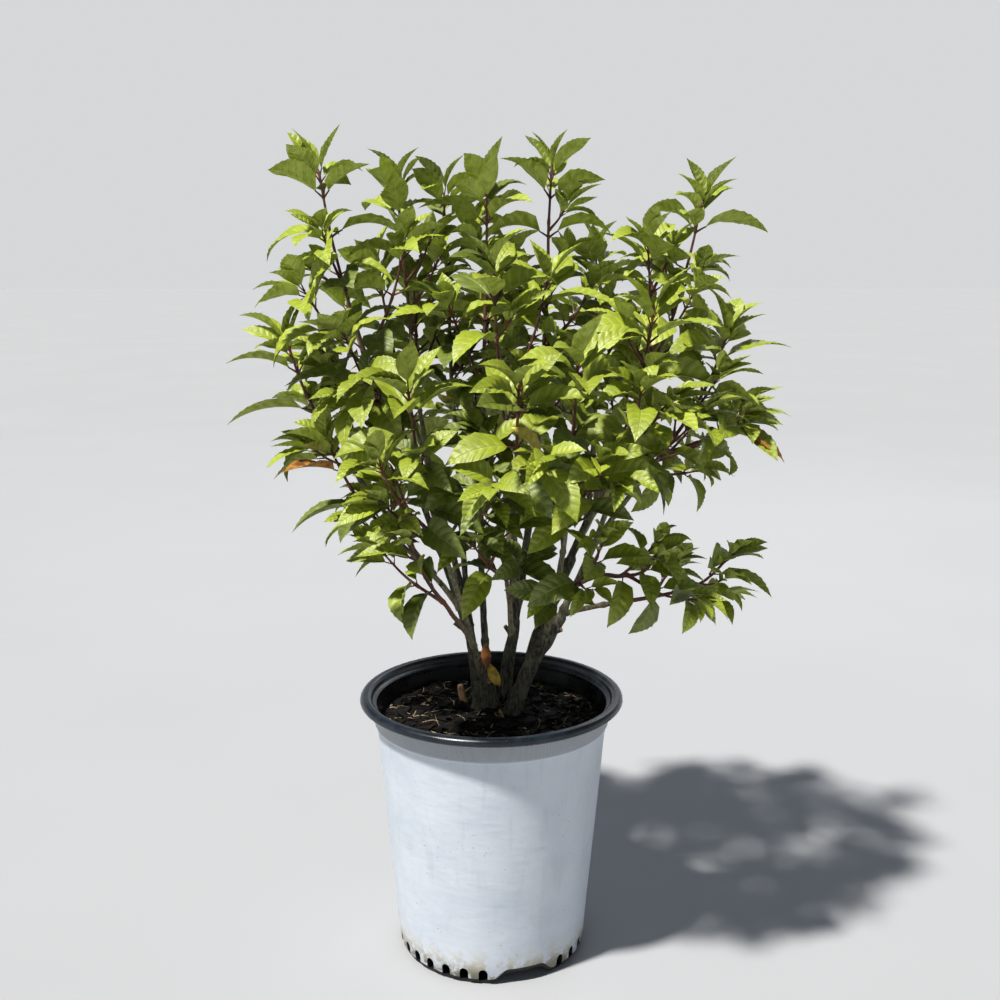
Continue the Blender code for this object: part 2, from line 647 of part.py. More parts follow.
def make_mass(name, shoots, leaves, section, collection):
    """One mass: its twigs and leaves, joined into one solid by a Boolean union."""
    pieces = new_collection(f"{name}_pieces")
    for order, path in enumerate(shoots):
        target = pieces if order else collection
        radii = even_radii((SIDE_SHOOT_RADIUS if order else TWIG_RADIUS, TWIG_TIP_RADIUS), len(path))
        made = tube(f"{name}_twig_{order}", path, radii, target, section)
        if order == 0:
            body = made
    for corners in leaves:
        mesh = bpy.data.meshes.new(f"{name}_leaf")
        mesh.from_pydata(corners, [], LEAF_FACES)
        pieces.objects.link(bpy.data.objects.new(f"{name}_leaf", mesh))
    join = body.modifiers.new("join", "BOOLEAN")
    join.operation = "UNION"
    join.operand_type = "COLLECTION"
    join.collection = pieces
    join.solver = "EXACT"
    body = as_mesh(body, collection)
    for thing in list(pieces.objects):
        bpy.data.objects.remove(thing)
    bpy.data.collections.remove(pieces)
    return body


def twig_section(helpers):
    """The three-sided cross-section of every twig, for its curve's bevel."""
    data = bpy.data.curves.new("twig_section", "CURVE")
    data.dimensions = "2D"
    outline = data.splines.new("POLY")
    outline.points.add(2)
    outline.use_cyclic_u = True
    for i in range(3):
        turn = math.pi / 2 - i * 2 * math.pi / 3
        outline.points[i].co = (math.cos(turn), math.sin(turn), 0.0, 1.0)
    section = bpy.data.objects.new("twig_section", data)
    hide_helper(section, helpers)
    return section


def main():
    clear_scene()
    collection = new_collection("potted_panicle_hydrangea")
    helpers = new_collection("cutters_and_guides")
    finishes = {
        "black_plastic": finish("black_plastic", (0.018, 0.021, 0.025), 0.45),
        "white_film": finish("white_film", (0.62, 0.68, 0.74), 0.4),
        "potting_mix": finish("potting_mix", (0.030, 0.020, 0.014), 0.95),
        "bark": finish("bark", (0.13, 0.11, 0.085), 0.85),
        "leaf": finish("leaf", (0.16, 0.26, 0.030), 0.5),
    }
    make_pot(collection, helpers, finishes)
    limbs = limb_plan()
    keepout = Keepout()
    twigs = twig_plan(limbs, keepout)
    leaves = leaf_plan(twigs, keepout)
    make_limbs(limbs, collection, helpers, finishes["bark"])
    section = twig_section(helpers)
    for name, shoots in twigs.items():
        body = make_mass(name, shoots, leaves[name], section, collection)
        body.name = f"{name}_foliage"
        body.data.materials.clear()
        body.data.materials.append(finishes["leaf"])
    print("leaves", sum(len(found) for found in leaves.values()))


main()
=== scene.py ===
"""Potted panicle hydrangea: bark, leaves, pot and potting mix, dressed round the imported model.

The stems grow by the solids' own seeded rule, carried on to finer twigs, leaf stalks and leaves, and each
surface is worked out with numpy as whole arrays. Lengths are in metres, the origin is the middle of the pot's
flat underside, +Z is up and -Y faces the viewer.
"""

import json
import math
import random
from collections import namedtuple
from functools import partial

import bpy
import numpy as np
from mathutils import Matrix, Vector
from mathutils.bvhtree import BVHTree

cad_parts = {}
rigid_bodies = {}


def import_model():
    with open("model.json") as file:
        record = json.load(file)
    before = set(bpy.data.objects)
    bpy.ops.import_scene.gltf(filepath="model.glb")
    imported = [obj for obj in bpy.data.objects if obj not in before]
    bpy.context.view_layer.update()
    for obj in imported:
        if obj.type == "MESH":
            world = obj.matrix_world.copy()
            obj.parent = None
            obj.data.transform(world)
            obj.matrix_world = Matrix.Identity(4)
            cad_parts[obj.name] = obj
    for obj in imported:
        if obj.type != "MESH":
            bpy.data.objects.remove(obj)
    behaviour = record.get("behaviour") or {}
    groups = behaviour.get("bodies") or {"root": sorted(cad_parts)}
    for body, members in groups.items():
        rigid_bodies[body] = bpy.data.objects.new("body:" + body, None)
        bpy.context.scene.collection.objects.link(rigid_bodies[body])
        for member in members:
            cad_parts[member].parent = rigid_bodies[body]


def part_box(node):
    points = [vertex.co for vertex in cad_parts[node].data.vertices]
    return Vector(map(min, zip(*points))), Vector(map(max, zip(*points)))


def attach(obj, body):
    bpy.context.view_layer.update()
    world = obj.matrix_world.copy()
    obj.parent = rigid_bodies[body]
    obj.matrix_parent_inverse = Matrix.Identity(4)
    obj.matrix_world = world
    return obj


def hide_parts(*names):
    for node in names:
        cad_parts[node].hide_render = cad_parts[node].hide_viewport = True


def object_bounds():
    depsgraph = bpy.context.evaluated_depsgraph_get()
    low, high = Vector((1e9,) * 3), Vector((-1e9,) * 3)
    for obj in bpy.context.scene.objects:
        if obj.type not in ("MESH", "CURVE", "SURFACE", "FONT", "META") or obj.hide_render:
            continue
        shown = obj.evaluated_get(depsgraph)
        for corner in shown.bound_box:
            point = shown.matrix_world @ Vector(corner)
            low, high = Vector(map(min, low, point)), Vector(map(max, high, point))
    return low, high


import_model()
CAD_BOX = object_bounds()

MM = 0.001
GAP = 0.3 * MM
UP = Vector((0.0, 0.0, 1.0))
SEED = 20

Stem = namedtuple("Stem", "parent share tip bare radius turn shoot seat", defaults=((), (0, 0)))
Limb = namedtuple("Limb", "path radii leafy")
Offer = namedtuple("Offer", "rank number name start ahead angle spread size droop roll")
Leaf = namedtuple("Leaf", "root out face length droop rank")

# Pot, as the solids have it
POT_HEIGHT = 285 * MM
RIM_RADIUS = 140 * MM
RIM_WIDTH = 12 * MM
RIM_THICKNESS = 6.5 * MM
COLLAR_RADIUS = 124.5 * MM
COLLAR_DEPTH = 24 * MM
COLLAR_FOOT = POT_HEIGHT - RIM_THICKNESS - COLLAR_DEPTH
BODY_TOP_RADIUS = 121 * MM
BODY_FOOT_RADIUS = 99 * MM
FOOT_CORNER = 5 * MM
WALL = 2.4 * MM
FLOOR = 3 * MM
SLEEVE_THICKNESS = 0.8 * MM
DRAINS = 3
FIRST_DRAIN = math.radians(-70)
DRAIN_HALF_WIDTH = math.radians(10.5)
DRAIN_RAMP = math.radians(9)
DRAIN_LIFT = 11 * MM
DRAIN_INNER_RADIUS = 66 * MM
DRAIN_STEP = 6 * MM
SLOTS_PER_STRETCH = 7
SLOT_PITCH = math.radians(11.6)
SLOT_WIDTH = 9.5 * MM
SLOT_HEIGHT = 14 * MM
SLOT_SILL = 3.5 * MM
SOIL_LEVEL = 262 * MM
POT_COLUMNS, SOIL_COLUMNS = 180, 200
EASE_POINTS = 5

# Limbs and twigs, as the solids have them
FLARE = 1.16
STATION_PITCH = 54 * MM
TWIG_RADIUS = 2.5 * MM
TWIG_TIP_RADIUS = 1.5 * MM
TWIG_CLEARANCE = 1 * MM
FIRST_NODE = 6 * MM
FIRST_INTERNODE = 17 * MM
INTERNODE_GROWTH = 14 * MM
LONGEST_INTERNODE = 62 * MM
BARE_SHOOT_FOOT = 12 * MM
FIRST_SIDE_SHOOT_RANK = 2
SIDE_SHOOT_ROOM = 80 * MM
SIDE_SHOOT_CHANCE = 0.32

# Leaves, as the solids have them. The tuples run from a shoot's tip down.
LEAF_LENGTH = 84 * MM
LEAF_WIDTH = 0.50
LEAF_FOLD = 0.055
LEAF_THICKNESS = 1.1 * MM
STALK_HEIGHT = 1.1 * MM
LEAF_CLEARANCE = 1.2 * MM
LEAF_LEVELLING = 0.5
LEAF_SEAT = 0.25 * MM
LEAF_ANGLES = (28, 46, 58, 64, 70)
LEAF_DROOPS = (26, 42, 52, 58, 64)
LEAF_SIZES = (0.66, 0.92, 1.0, 0.98, 0.88)
LEAF_TOP = ((0, 4, 3), (4, 6, 3), (2, 6, 4), (0, 2, 4))
LEAF_UNDERSIDE = ((1, 3, 5), (5, 3, 6), (2, 5, 6), (1, 5, 2))
LEAF_FACES = LEAF_TOP + LEAF_UNDERSIDE + ((1, 0, 3), (0, 1, 2))
# Turns and sizes that a leaf tries at its node, one after the other, and the share of its length, from the
# stalk's foot, that may touch its own mass
LEAF_TRIES = ((0, 1.0), (0.45, 1.0), (-0.45, 1.0), (0.2, 0.85), (-0.2, 0.72))
FREE_STALK_SHARE = 0.2

# Finer growth that only the looks have
SPUR_PITCH = 21 * MM
SPUR_CHANCE = 0.76
SPUR_LENGTHS = (24 * MM, 62 * MM)
LONG_SPUR_CHANCE = 0.3
LONG_SPUR_LENGTHS = (75 * MM, 135 * MM)
BOUGH_SPURS = (0.3, 0.95)
SHOOT_SPURS = (0.08, 0.9)
OPEN_SHOOT_SPURS = (0.08, 0.45)
OPEN_STEMS = ("tall_left", "low_left", "far_left", "skirt_left")
BARE_BOUGHS = ("skirt_left",)
SPUR_MARGIN = (26 * MM, 26 * MM, 30 * MM)
CLOSE_MARGIN = (10 * MM, 10 * MM, 8 * MM)
CLOSE_STEMS = ("skirt_near", "skirt_right", "skirt_front")
SPUR_DROP = 60 * MM
FINE_CLEARANCE = 0.3 * MM
# The pairs of young leaves at a tip: distance below it and length in mm, spread and droop in degrees, turn
BUD_PAIRS = ((1.5, 56, 11, 26, 0.0), (11, 64, 34, 46, 0.8))
EXTRA_FLARE = 0.12
FLARE_HEIGHT = 9 * MM
TRUNK_SINK = 8 * MM
TRUNK_DOME_RINGS = 7
LONGEST_STEM = 750 * MM
STEM_RINGS, STEM_SIDES = 150, 14
TRUNK_RINGS, TRUNK_SIDES = 150, 60
SHOOT_RINGS, SHOOT_SIDES = 26, 8

# Blades: rows that follow the side veins, and each column's share of the half width
SIDE_VEINS = 7
BLADE_ROWS = 2 * SIDE_VEINS + 1
BLADE_COLUMNS = np.array([-1.0, -0.52, 0.0, 0.52, 1.0])
STALK_SHARE = 0.14
BLADE_WIDTH = 0.53
VEIN_SWEEP = 0.32
BLADE_POWERS = (0.74, 1.2)
MIDRIB_STEPS = 241
OUTWARD_LEAN = 0.6
CROWN_MIDDLE = (0.01, 0.01, 0.0)
STALK_RINGS, STALK_SIDES = 8, 6

# Tints of the leaves, in the order of their materials, and the heights between which they change: paler tints
# go more to high leaves as painted light, deeper ones more to low and inner leaves as painted shade
FRESH, GREEN, DEEP, BRIGHT, TURNING, DEAD = range(6)
SKIRT_HEIGHT, CROWN_DEPTH = 0.40, 0.42

# Loose pieces on the potting mix, and how far out they may lie. The kinds of chip are in the order of their
# materials: dark, brown and red bark, slivers of wood, and stones.
CHIP_COUNT = 2200
CHIP_SHARES = (0.765, 0.14, 0.015, 0.06, 0.02)
SLIVER, STONE = 3, 4
FIBRE_COUNT, FIBRE_RINGS = 85, 7
LITTER_RADIUS = 117 * MM

# The point that the lamps face
PLANT_MIDDLE = Vector((0.0, 0.0, 0.45))

# How most Map Range nodes blend
SMOOTH = {"interpolation_type": "SMOOTHSTEP"}

# Size of the table of random values behind every noise
NOISE_SIZE = 256

# name: foot x, y; top x, y, z; foot and top radius, in mm
TRUNKS = {
    "trunk_left": ((-4, 12), (-8, 12, 294), 13.5, 11.0),
    "trunk_right": ((22, -1), (76, 6, 369), 9.0, 6.5),
    "trunk_middle": ((14, 31), (38, 28, 436), 7.5, 5.4),
    "trunk_back_left": ((-14, 42), (-34, 66, 390), 6.0, 4.8),
    "trunk_back_right": ((30, 38), (90, 62, 420), 6.5, 5.2),
}

# Each stem: its parent and the share of the parent's length where it forks, the tip of its leading shoot, the
# share of the stem that is bare bough, its radius at the fork, and the turn of its first leaves in degrees.
# Then, where it has them, one further shoot (share of the leafy stem, tip), and how far beside the parent's
# axis it sits. Lengths in mm.
STEM_ROWS = {
    "tall_left": ("trunk_left", 0.8, (-170, 0, 826), 0.54, 4.8, 0, (0.08, -140, -72, 668), (-5, 2)),
    "low_left": ("tall_left", 0.28, (-163, -42, 560), 0.48, 3.4, 20, (0.1, -146, -56, 468)),
    "centre_left": ("trunk_left", 0.8, (-4, 20, 802), 0.62, 4.0, 90, (0.15, -42, -34, 695), (4, 5)),
    "front_left": ("trunk_left", 0.7, (-75, -155, 628), 0.52, 3.6, 40, (0.12, -100, -172, 560), (0, -7)),
    "far_left": ("low_left", 0.42, (-203, -18, 656), 0.46, 2.9, 10, (0.15, -188, 34, 590)),
    "skirt_left": ("front_left", 0.3, (-78, -118, 484), 0.44, 2.9, 70, (0.1, -112, -66, 458)),
    "left_back": ("trunk_back_left", 0.9, (-122, 108, 728), 0.52, 3.8, 30, (0.12, -180, 95, 636), (-1, 0)),
    "high_left": ("tall_left", 0.45, (-96, 58, 808), 0.5, 3.4, 60),
    "high_back": ("trunk_back_left", 0.5, (-50, 102, 806), 0.58, 3.6, 15),
    "back_left": ("left_back", 0.3, (-122, 192, 612), 0.46, 3.0, 80, (0.12, -70, 202, 540)),
    "high_right": ("trunk_middle", 0.9, (62, 50, 829), 0.54, 4.2, 5, (), (0, 1)),
    "front_high": ("trunk_middle", 0.62, (2, -96, 730), 0.56, 3.8, 50, (0.15, 54, -42, 716)),
    "front_centre": ("front_high", 0.4, (24, -190, 634), 0.5, 3.0, 25, (0.1, 48, -200, 570)),
    "skirt_centre": ("trunk_middle", 0.4, (4, -92, 530), 0.4, 3.2, 55, (0.1, -18, -100, 470)),
    "back_centre": ("trunk_middle", 0.5, (-5, 200, 684), 0.52, 3.6, 45, (0.12, 5, 212, 570)),
    "front_right": ("trunk_right", 0.66, (78, -154, 648), 0.5, 4.0, 75, (0.1, 96, -176, 560)),
    "skirt_front": ("front_right", 0.3, (104, -140, 482), 0.46, 3.0, 35),
    "near_right": ("trunk_right", 0.92, (152, -96, 692), 0.5, 4.0, 0, (0.12, 136, -146, 622)),
    "skirt_near": ("near_right", 0.25, (162, -104, 462), 0.5, 2.9, 55),
    "far_right": ("near_right", 0.45, (238, -12, 666), 0.46, 3.2, 20, (0.12, 250, -36, 580)),
    "skirt_right": ("trunk_back_right", 0.5, (250, -20, 440), 0.52, 3.6, 10, (0.1, 205, -30, 500)),
    "tower_right": ("trunk_back_right", 0.9, (218, 58, 794), 0.54, 4.2, 30, (0.1, 158, 10, 754), (-1, 0)),
    "high_back_right": ("tower_right", 0.25, (116, 134, 740), 0.5, 3.4, 70),
    "edge_right": ("tower_right", 0.42, (266, 50, 584), 0.44, 3.2, 40, (0.12, 236, 88, 512)),
    "back_right": ("trunk_back_right", 0.75, (192, 172, 634), 0.5, 3.6, 85, (0.12, 150, 200, 540)),
    "back_mid": ("high_back_right", 0.3, (86, 218, 634), 0.46, 3.0, 65, (0.12, 60, 220, 545)),
}
STEMS = {name: Stem(*row) for name, row in STEM_ROWS.items()}

# Pruned stubs: limb, share of its length, turn in degrees, length and radius in mm
PRUNED = (
    ("tall_left", 0.2, 165, 15, 3.4),
    ("trunk_left", 0.62, -60, 17, 3.8),
    ("trunk_right", 0.80, -40, 13, 3.0),
    ("trunk_middle", 0.42, 200, 14, 2.8),
    ("low_left", 0.30, -80, 9, 2.0),
    ("front_right", 0.22, 10, 9, 1.9),
)

# Stubs in the potting mix: foot, top, radius, in mm
SOIL_STUBS = (((-29, 27, 254), (-34, 26, 282), 4.3), ((13, -12, 255), (9, -14, 268), 2.2))
STUB_RINGS, STUB_SIDES = 9, 14

# Dead leaves on the stump: root in mm, direction, face, length in mm and droop in radians
DEAD_LEAVES = (
    ((-4, -2, 306), (-0.15, -0.05, 1), (0.2, -1, 0), 40, 0.9),
    ((11, -3, 286), (-0.45, 0.02, 0.9), (0.1, -1, 0.1), 42, 0.5),
)
# Seedling: its place on the potting mix in mm, and how many leaves it has
SEEDLING = (74, 14)
SEEDLING_LEAVES = 6

# The sides of the crown, each with the masses whose leaves make one piece
CROWN_SIDES = {
    "left": ("tall_left", "low_left", "front_left", "far_left", "skirt_left", "high_left"),
    "middle": ("centre_left", "high_right", "front_high", "front_centre", "skirt_centre", "front_right"),
    "right": (
        "skirt_front", "near_right", "skirt_near", "far_right", "skirt_right", "tower_right", "edge_right",
    ),
    "back": (
        "left_back", "high_back", "back_left", "back_centre", "high_back_right", "back_right", "back_mid",
    ),
}


# Growth: the rule of the solids

def curve_points(knots, first, last, count):
    """Points of the cubic curve through four control points, between two shares of it."""
    a, b, c, d = knots
    points = []
    for i in range(count):
        t = first + (last - first) * i / (count - 1)
        s = 1 - t
        points.append(a * s**3 + b * 3 * s * s * t + c * 3 * s * t * t + d * t**3)
    return points


def along(path, share):
    """Point and direction at a share of a path's points."""
    place = min(max(share, 0.0), 0.9999) * (len(path) - 1)
    i = int(place)
    step = path[i + 1] - path[i]
    return path[i] + step * (place - i), step.normalized()


def path_length(path):
    """Length of a path along its points."""
    return sum((b - a).length for a, b in zip(path, path[1:]))


def stations(length, fewest):
    """How many points a limb or shoot of this length is drawn with."""
    return max(fewest, round(length / STATION_PITCH) + 1)


def trunk_knots(foot, top):
    """Control points of a trunk, which leans more towards its top."""
    run = top - foot
    low = foot + Vector((run.x * 0.22, run.y * 0.22, run.z * 0.36))
    high = foot + Vector((run.x * 0.58, run.y * 0.58, run.z * 0.68))
    return foot, low, high, top


def stem_knots(fork, ahead, tip, hold=0.35):
    """Control points of a stem: it leaves partly along its parent and ends more upright than its run."""
    run = tip - fork
    reach = run.length * 0.35
    leave = (ahead * hold + run.normalized() * (1 - hold)).normalized()
    arrive = (run.normalized() * 0.45 + UP * 0.55).normalized()
    return fork, fork + leave * reach, tip - arrive * reach, tip


def limb_plan():
    """Works out every trunk, bough and leading shoot: its points, and the limb's radius at each end."""
    limbs = {}
    for name, (foot, top, foot_radius, top_radius) in TRUNKS.items():
        start = Vector((*foot, SOIL_LEVEL / MM)) * MM
        end = Vector(top) * MM
        path = curve_points(trunk_knots(start, end), 0.0, 1.0, stations((end - start).length, 3))
        limbs[name] = Limb(path, (foot_radius * MM, top_radius * MM), None)
    for name, stem in STEMS.items():
        fork, ahead = along(limbs[stem.parent].path, stem.share)
        fork = fork + Vector((*stem.seat, 0)) * MM
        end = Vector(stem.tip) * MM
        knots = stem_knots(fork, ahead, end, 0.6 if stem.share > 0.75 else 0.25)
        run = (end - fork).length
        path = curve_points(knots, 0.0, stem.bare, stations(run * stem.bare, 4))
        leafy = curve_points(knots, stem.bare, 1.0, stations(run * (1 - stem.bare), 3))
        straight = (path[-1] - path[-2]).normalized()
        leafy[0] = path[-1] + straight * GAP
        leafy.insert(1, leafy[0] + straight * 6 * MM)
        limbs[name] = Limb(path, (stem.radius * MM, TWIG_RADIUS), leafy)
    return limbs


def node_shares(length):
    """Shares of a shoot's length at which its leaves sit, from its tip down, further apart lower down."""
    below, step, shares = FIRST_NODE, FIRST_INTERNODE, []
    while below < length - BARE_SHOOT_FOOT:
        shares.append(1 - below / length)
        below += step
        step = min(step + INTERNODE_GROWTH, LONGEST_INTERNODE)
    return shares


def turned_side(ahead, turn):
    """A direction square to a shoot, at a turn about it from +X."""
    across = Vector((1.0, 0.0, 0.0))
    across = (across - ahead * across.dot(ahead)).normalized()
    return across * math.cos(turn) + ahead.cross(across) * math.sin(turn)


def side_shoot(path, share, turn, reach):
    """A short shoot that leaves a leading shoot at an angle and curves upwards."""
    start, ahead = along(path, share)
    heading = (ahead * 0.62 + turned_side(ahead, turn) * 0.78).normalized()
    tip = start + heading * reach * 0.75 + (ahead + UP).normalized() * reach * 0.35
    knots = (start, start + heading * reach * 0.4, start.lerp(tip, 0.62) + heading * reach * 0.06, tip)
    return curve_points(knots, 0.0, 1.0, 3)


def tube_shell(path, radii, sides=4):
    """Corners and faces of a plain tube without caps, for clearance tests only."""
    corners, faces = [], []
    count = len(path)
    for i, point in enumerate(path):
        _, ahead = along(path, i / (count - 1))
        radius = radii[0] + (radii[1] - radii[0]) * i / (count - 1)
        for k in range(sides):
            corners.append(point + turned_side(ahead, 2 * math.pi * k / sides) * radius)
    for i in range(count - 1):
        for k in range(sides):
            a, b = i * sides + k, i * sides + (k + 1) % sides
            faces += [(a, b, b + sides), (a, b + sides, a + sides)]
    return corners, faces


def twig_shell(path, first, last):
    """A tube with clearance, round the stretch of a twig between two shares of its length."""
    points = [along(path, first + (last - first) * i / 4)[0] for i in range(5)]
    return tube_shell(points, (TWIG_RADIUS + TWIG_CLEARANCE, TWIG_TIP_RADIUS + TWIG_CLEARANCE))


class Triangles:
    """A set of triangles with owners, and its search tree, made when it is first asked for."""

    def __init__(self):
        self.corners, self.faces, self.owners, self.tree = [], [], [], None

    def add(self, corners, faces, owners):
        base = len(self.corners)
        self.corners += corners
        self.faces += [tuple(base + i for i in face) for face in faces]
        self.owners += owners
        self.tree = None

    def hits(self, other, own):
        if not self.faces:
            return False
        if self.tree is None:
            self.tree = BVHTree.FromPolygons(self.corners, self.faces)
        return any(own is None or self.owners[i] != own for i, _ in self.tree.overlap(other))


class Keepout:
    """Everything placed so far, to test new pieces against: a settled set, and a small set of the latest."""

    FEW = 600

    def __init__(self):
        self.settled, self.latest = Triangles(), Triangles()

    def add(self, shell, owner):
        self.latest.add(*shell, [owner] * len(shell[1]))
        if len(self.latest.faces) > self.FEW:
            self.settled.add(self.latest.corners, self.latest.faces, self.latest.owners)
            self.latest = Triangles()

    def hits(self, shell, own=None):
        """Whether a shell crosses anything, leaving out what belongs to its own mass where that is given."""
        other = BVHTree.FromPolygons(*shell)
        return self.settled.hits(other, own) or self.latest.hits(other, own)


def twig_offers(stem, lead, rng):
    """A further shoot from near a leading shoot's foot, and side shoots at the lower nodes of both."""
    offers = []
    if stem.shoot:
        share, *tip = stem.shoot
        start, ahead = along(lead, share)
        knots = stem_knots(start, ahead, Vector(tip) * MM)
        offers.append(curve_points(knots, 0.0, 1.0, stations((knots[3] - start).length, 3)))
    for leader in [lead, *offers]:
        length = path_length(leader)
        for rank, share in enumerate(node_shares(length)):
            room = (1 - share) * length
            chance, swing, vigour = rng.random(), rng.uniform(-0.5, 0.5), rng.uniform(0.5, 0.75)
            if rank >= FIRST_SIDE_SHOOT_RANK and room > SIDE_SHOOT_ROOM and chance < SIDE_SHOOT_CHANCE:
                side = math.radians(stem.turn) + rank * math.pi / 2 + swing
                offers.append(side_shoot(leader, share, side, room * vigour))
    return offers


def twig_plan(limbs, keepout):
    """Works out the twigs of every mass, its leading shoot first, and skips those with no room."""
    for name, limb in limbs.items():
        keepout.add(tube_shell(limb.path, limb.radii, 6), f"{name} bough")
        if limb.leafy:
            keepout.add(tube_shell(limb.leafy, (TWIG_RADIUS, TWIG_TIP_RADIUS)), name)
    twigs = {}
    for number, (name, stem) in enumerate(STEMS.items()):
        lead = limbs[name].leafy
        twigs[name] = [lead]
        for path in twig_offers(stem, lead, random.Random(SEED + number)):
            foot, rest = twig_shell(path, 0.0, 0.2), twig_shell(path, 0.2, 1.0)
            if not keepout.hits(foot, name) and not keepout.hits(rest):
                keepout.add(tube_shell(path, (TWIG_RADIUS, TWIG_TIP_RADIUS)), name)
                twigs[name].append(path)
    return twigs


def in_space(point, name):
    """Whether a twig's tip is so far inside the space of its mass's solid that its leaves are inside too."""
    low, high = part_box(f"{name}_foliage")
    low = Vector(low) - UP * SPUR_DROP
    margin = CLOSE_MARGIN if name in CLOSE_STEMS else SPUR_MARGIN
    return all(low[k] + margin[k] < point[k] < high[k] - margin[k] for k in range(3))


def spur_lines(limbs, twigs, name):
    """The stretches of a stem that bear spurs: a path and two shares of its length."""
    boughs = [] if name in BARE_BOUGHS else [(limbs[name].path, *BOUGH_SPURS)]
    shares = OPEN_SHOOT_SPURS if name in OPEN_STEMS else SHOOT_SPURS
    return boughs + [(shoot, *shares) for shoot in twigs[name]]


def spur_plan(limbs, twigs, keepout):
    """Finer twigs: short spurs in turns round the upper part of each bough and round the shoots."""
    spurs = {}
    for number, name in enumerate(twigs):
        rng = random.Random(100 * SEED + number)
        turn = math.radians(STEMS[name].turn)
        spurs[name] = []
        for path, first, last in spur_lines(limbs, twigs, name):
            length = path_length(path)
            for step in range(int(length * (last - first) / SPUR_PITCH)):
                share = first + step * SPUR_PITCH / length
                side = turn + step * math.pi / 2 + rng.uniform(-0.6, 0.6)
                chance, long_one = rng.random(), rng.random() < LONG_SPUR_CHANCE
                reach = rng.uniform(*(LONG_SPUR_LENGTHS if long_one else SPUR_LENGTHS))
                if chance > SPUR_CHANCE:
                    continue
                spur = side_shoot(path, share, side + rng.choice((0, math.pi)), reach)
                if in_space(spur[-1], name) and not keepout.hits(twig_shell(spur, 0.3, 1.0)):
                    keepout.add(tube_shell(spur, (TWIG_TIP_RADIUS, TWIG_TIP_RADIUS)), name)
                    spurs[name].append(spur)
    return spurs


def leaf_frame(root, ahead, side, spread, roll):
    """Directions of a leaf: out along its stalk, and out of its upper face, which looks up the shoot."""
    out = ahead * math.cos(spread) + side * math.sin(spread)
    sky = ahead * 0.35 + UP * 0.75
    face = (sky - out * sky.dot(out)).normalized()
    return root, out, Matrix.Rotation(roll, 3, out) @ face


def leaf_spot(stand, length, droop, along_share, across_share, lift):
    """A point of a leaf whose midrib is an arc that bends down from its stalk."""
    root, out, face = stand
    swing = droop * along_share
    point = root + (out * math.sin(swing) - face * (1 - math.cos(swing))) * (length / droop)
    normal = face * math.cos(swing) + out * math.sin(swing)
    return point + face.cross(out) * (across_share * length) + normal * lift


def leaf_corners(stand, length, droop, margin=0.0, start=0.0):
    """Seven corners of a leaf: top and bottom of its stalk, both edges, the middle of both faces, its tip."""
    half = LEAF_WIDTH / 2 + margin / length
    fold = LEAF_FOLD * length
    thick = max(LEAF_THICKNESS / 2, margin)
    spot = partial(leaf_spot, stand, length, droop)
    return [
        spot(start, 0.0, STALK_HEIGHT / 2),
        spot(start, 0.0, -STALK_HEIGHT / 2),
        spot(0.50, -half, fold),
        spot(0.50, half, fold),
        spot(0.46, 0.0, thick),
        spot(0.46, 0.0, -thick),
        spot(1.0 + margin / length, 0.0, 0.0),
    ]


def leaf_offers(number, name, shoots, rng):
    """Every leaf that a mass would like to have, with its rank below its shoot's tip."""
    turn = math.radians(STEMS[name].turn)
    offers = []
    for order, path in enumerate(shoots):
        length = path_length(path)
        vigour = min(1.0, 0.62 + length / (0.45 if order else 0.36))
        for rank, share in enumerate(node_shares(length)):
            start, ahead = along(path, share)
            whorl = 3 if order == 0 and rank == 1 else 2
            low = min(rank, len(LEAF_SIZES) - 1)
            for k in range(whorl):
                angle = turn + rank * math.pi / 2 + k * 2 * math.pi / whorl + rng.uniform(-0.25, 0.25)
                spread = math.radians(LEAF_ANGLES[low] + rng.uniform(-8, 8))
                size = LEAF_LENGTH * vigour * LEAF_SIZES[low] * rng.uniform(0.88, 1.06)
                droop = math.radians(LEAF_DROOPS[low] + rng.uniform(-14, 14))
                roll = rng.uniform(-0.3, 0.3)
                offers.append(Offer(rank, number, name, start, ahead, angle, spread, size, droop, roll))
    return offers


def bud_offers(number, name, shoots, rng):
    """The tuft of young leaves at each shoot's tip: a small upright pair, and a wider pair below it."""
    offers = []
    for path in shoots:
        length = path_length(path)
        vigour = min(1.0, 0.7 + length / 0.6)
        for below, size, spread, droop, turn in BUD_PAIRS:
            start, ahead = along(path, 1 - below * MM / length)
            ceiling = CAD_BOX[1][2] - start.z + 4 * MM
            for k in range(2):
                angle = turn + k * math.pi + rng.uniform(-0.3, 0.3)
                lean = math.radians(spread + rng.uniform(-6, 8))
                bend = math.radians(droop + rng.uniform(-10, 14))
                reach = min(size * MM * vigour * rng.uniform(0.85, 1.1), ceiling)
                roll = rng.uniform(-0.3, 0.3)
                offers.append(Offer(-1, number, name, start, ahead, angle, lean, reach, bend, roll))
    return offers


def place_leaves(offers, keepout, leaves, clearance):
    """Places the leaves of all masses in turns from the shoots' tips down, and skips those with no room."""
    offers.sort(key=lambda offer: (offer.rank, offer.number))
    for rank, _, name, start, ahead, angle, spread, size, droop, roll in offers:
        for swing, shrink in LEAF_TRIES:
            side = turned_side(ahead, angle + swing)
            side = Vector((side.x, side.y, side.z * LEAF_LEVELLING)).normalized()
            stand = leaf_frame(start + side * LEAF_SEAT, ahead, side, spread, roll)
            length = size * shrink
            blade = leaf_corners(stand, length, droop, clearance, FREE_STALK_SHARE), LEAF_FACES
            whole = leaf_corners(stand, length, droop), LEAF_FACES
            if not keepout.hits(blade) and not keepout.hits(whole, name):
                keepout.add(whole, name)
                leaves[name].append(Leaf(*stand, length, droop, rank))
                break


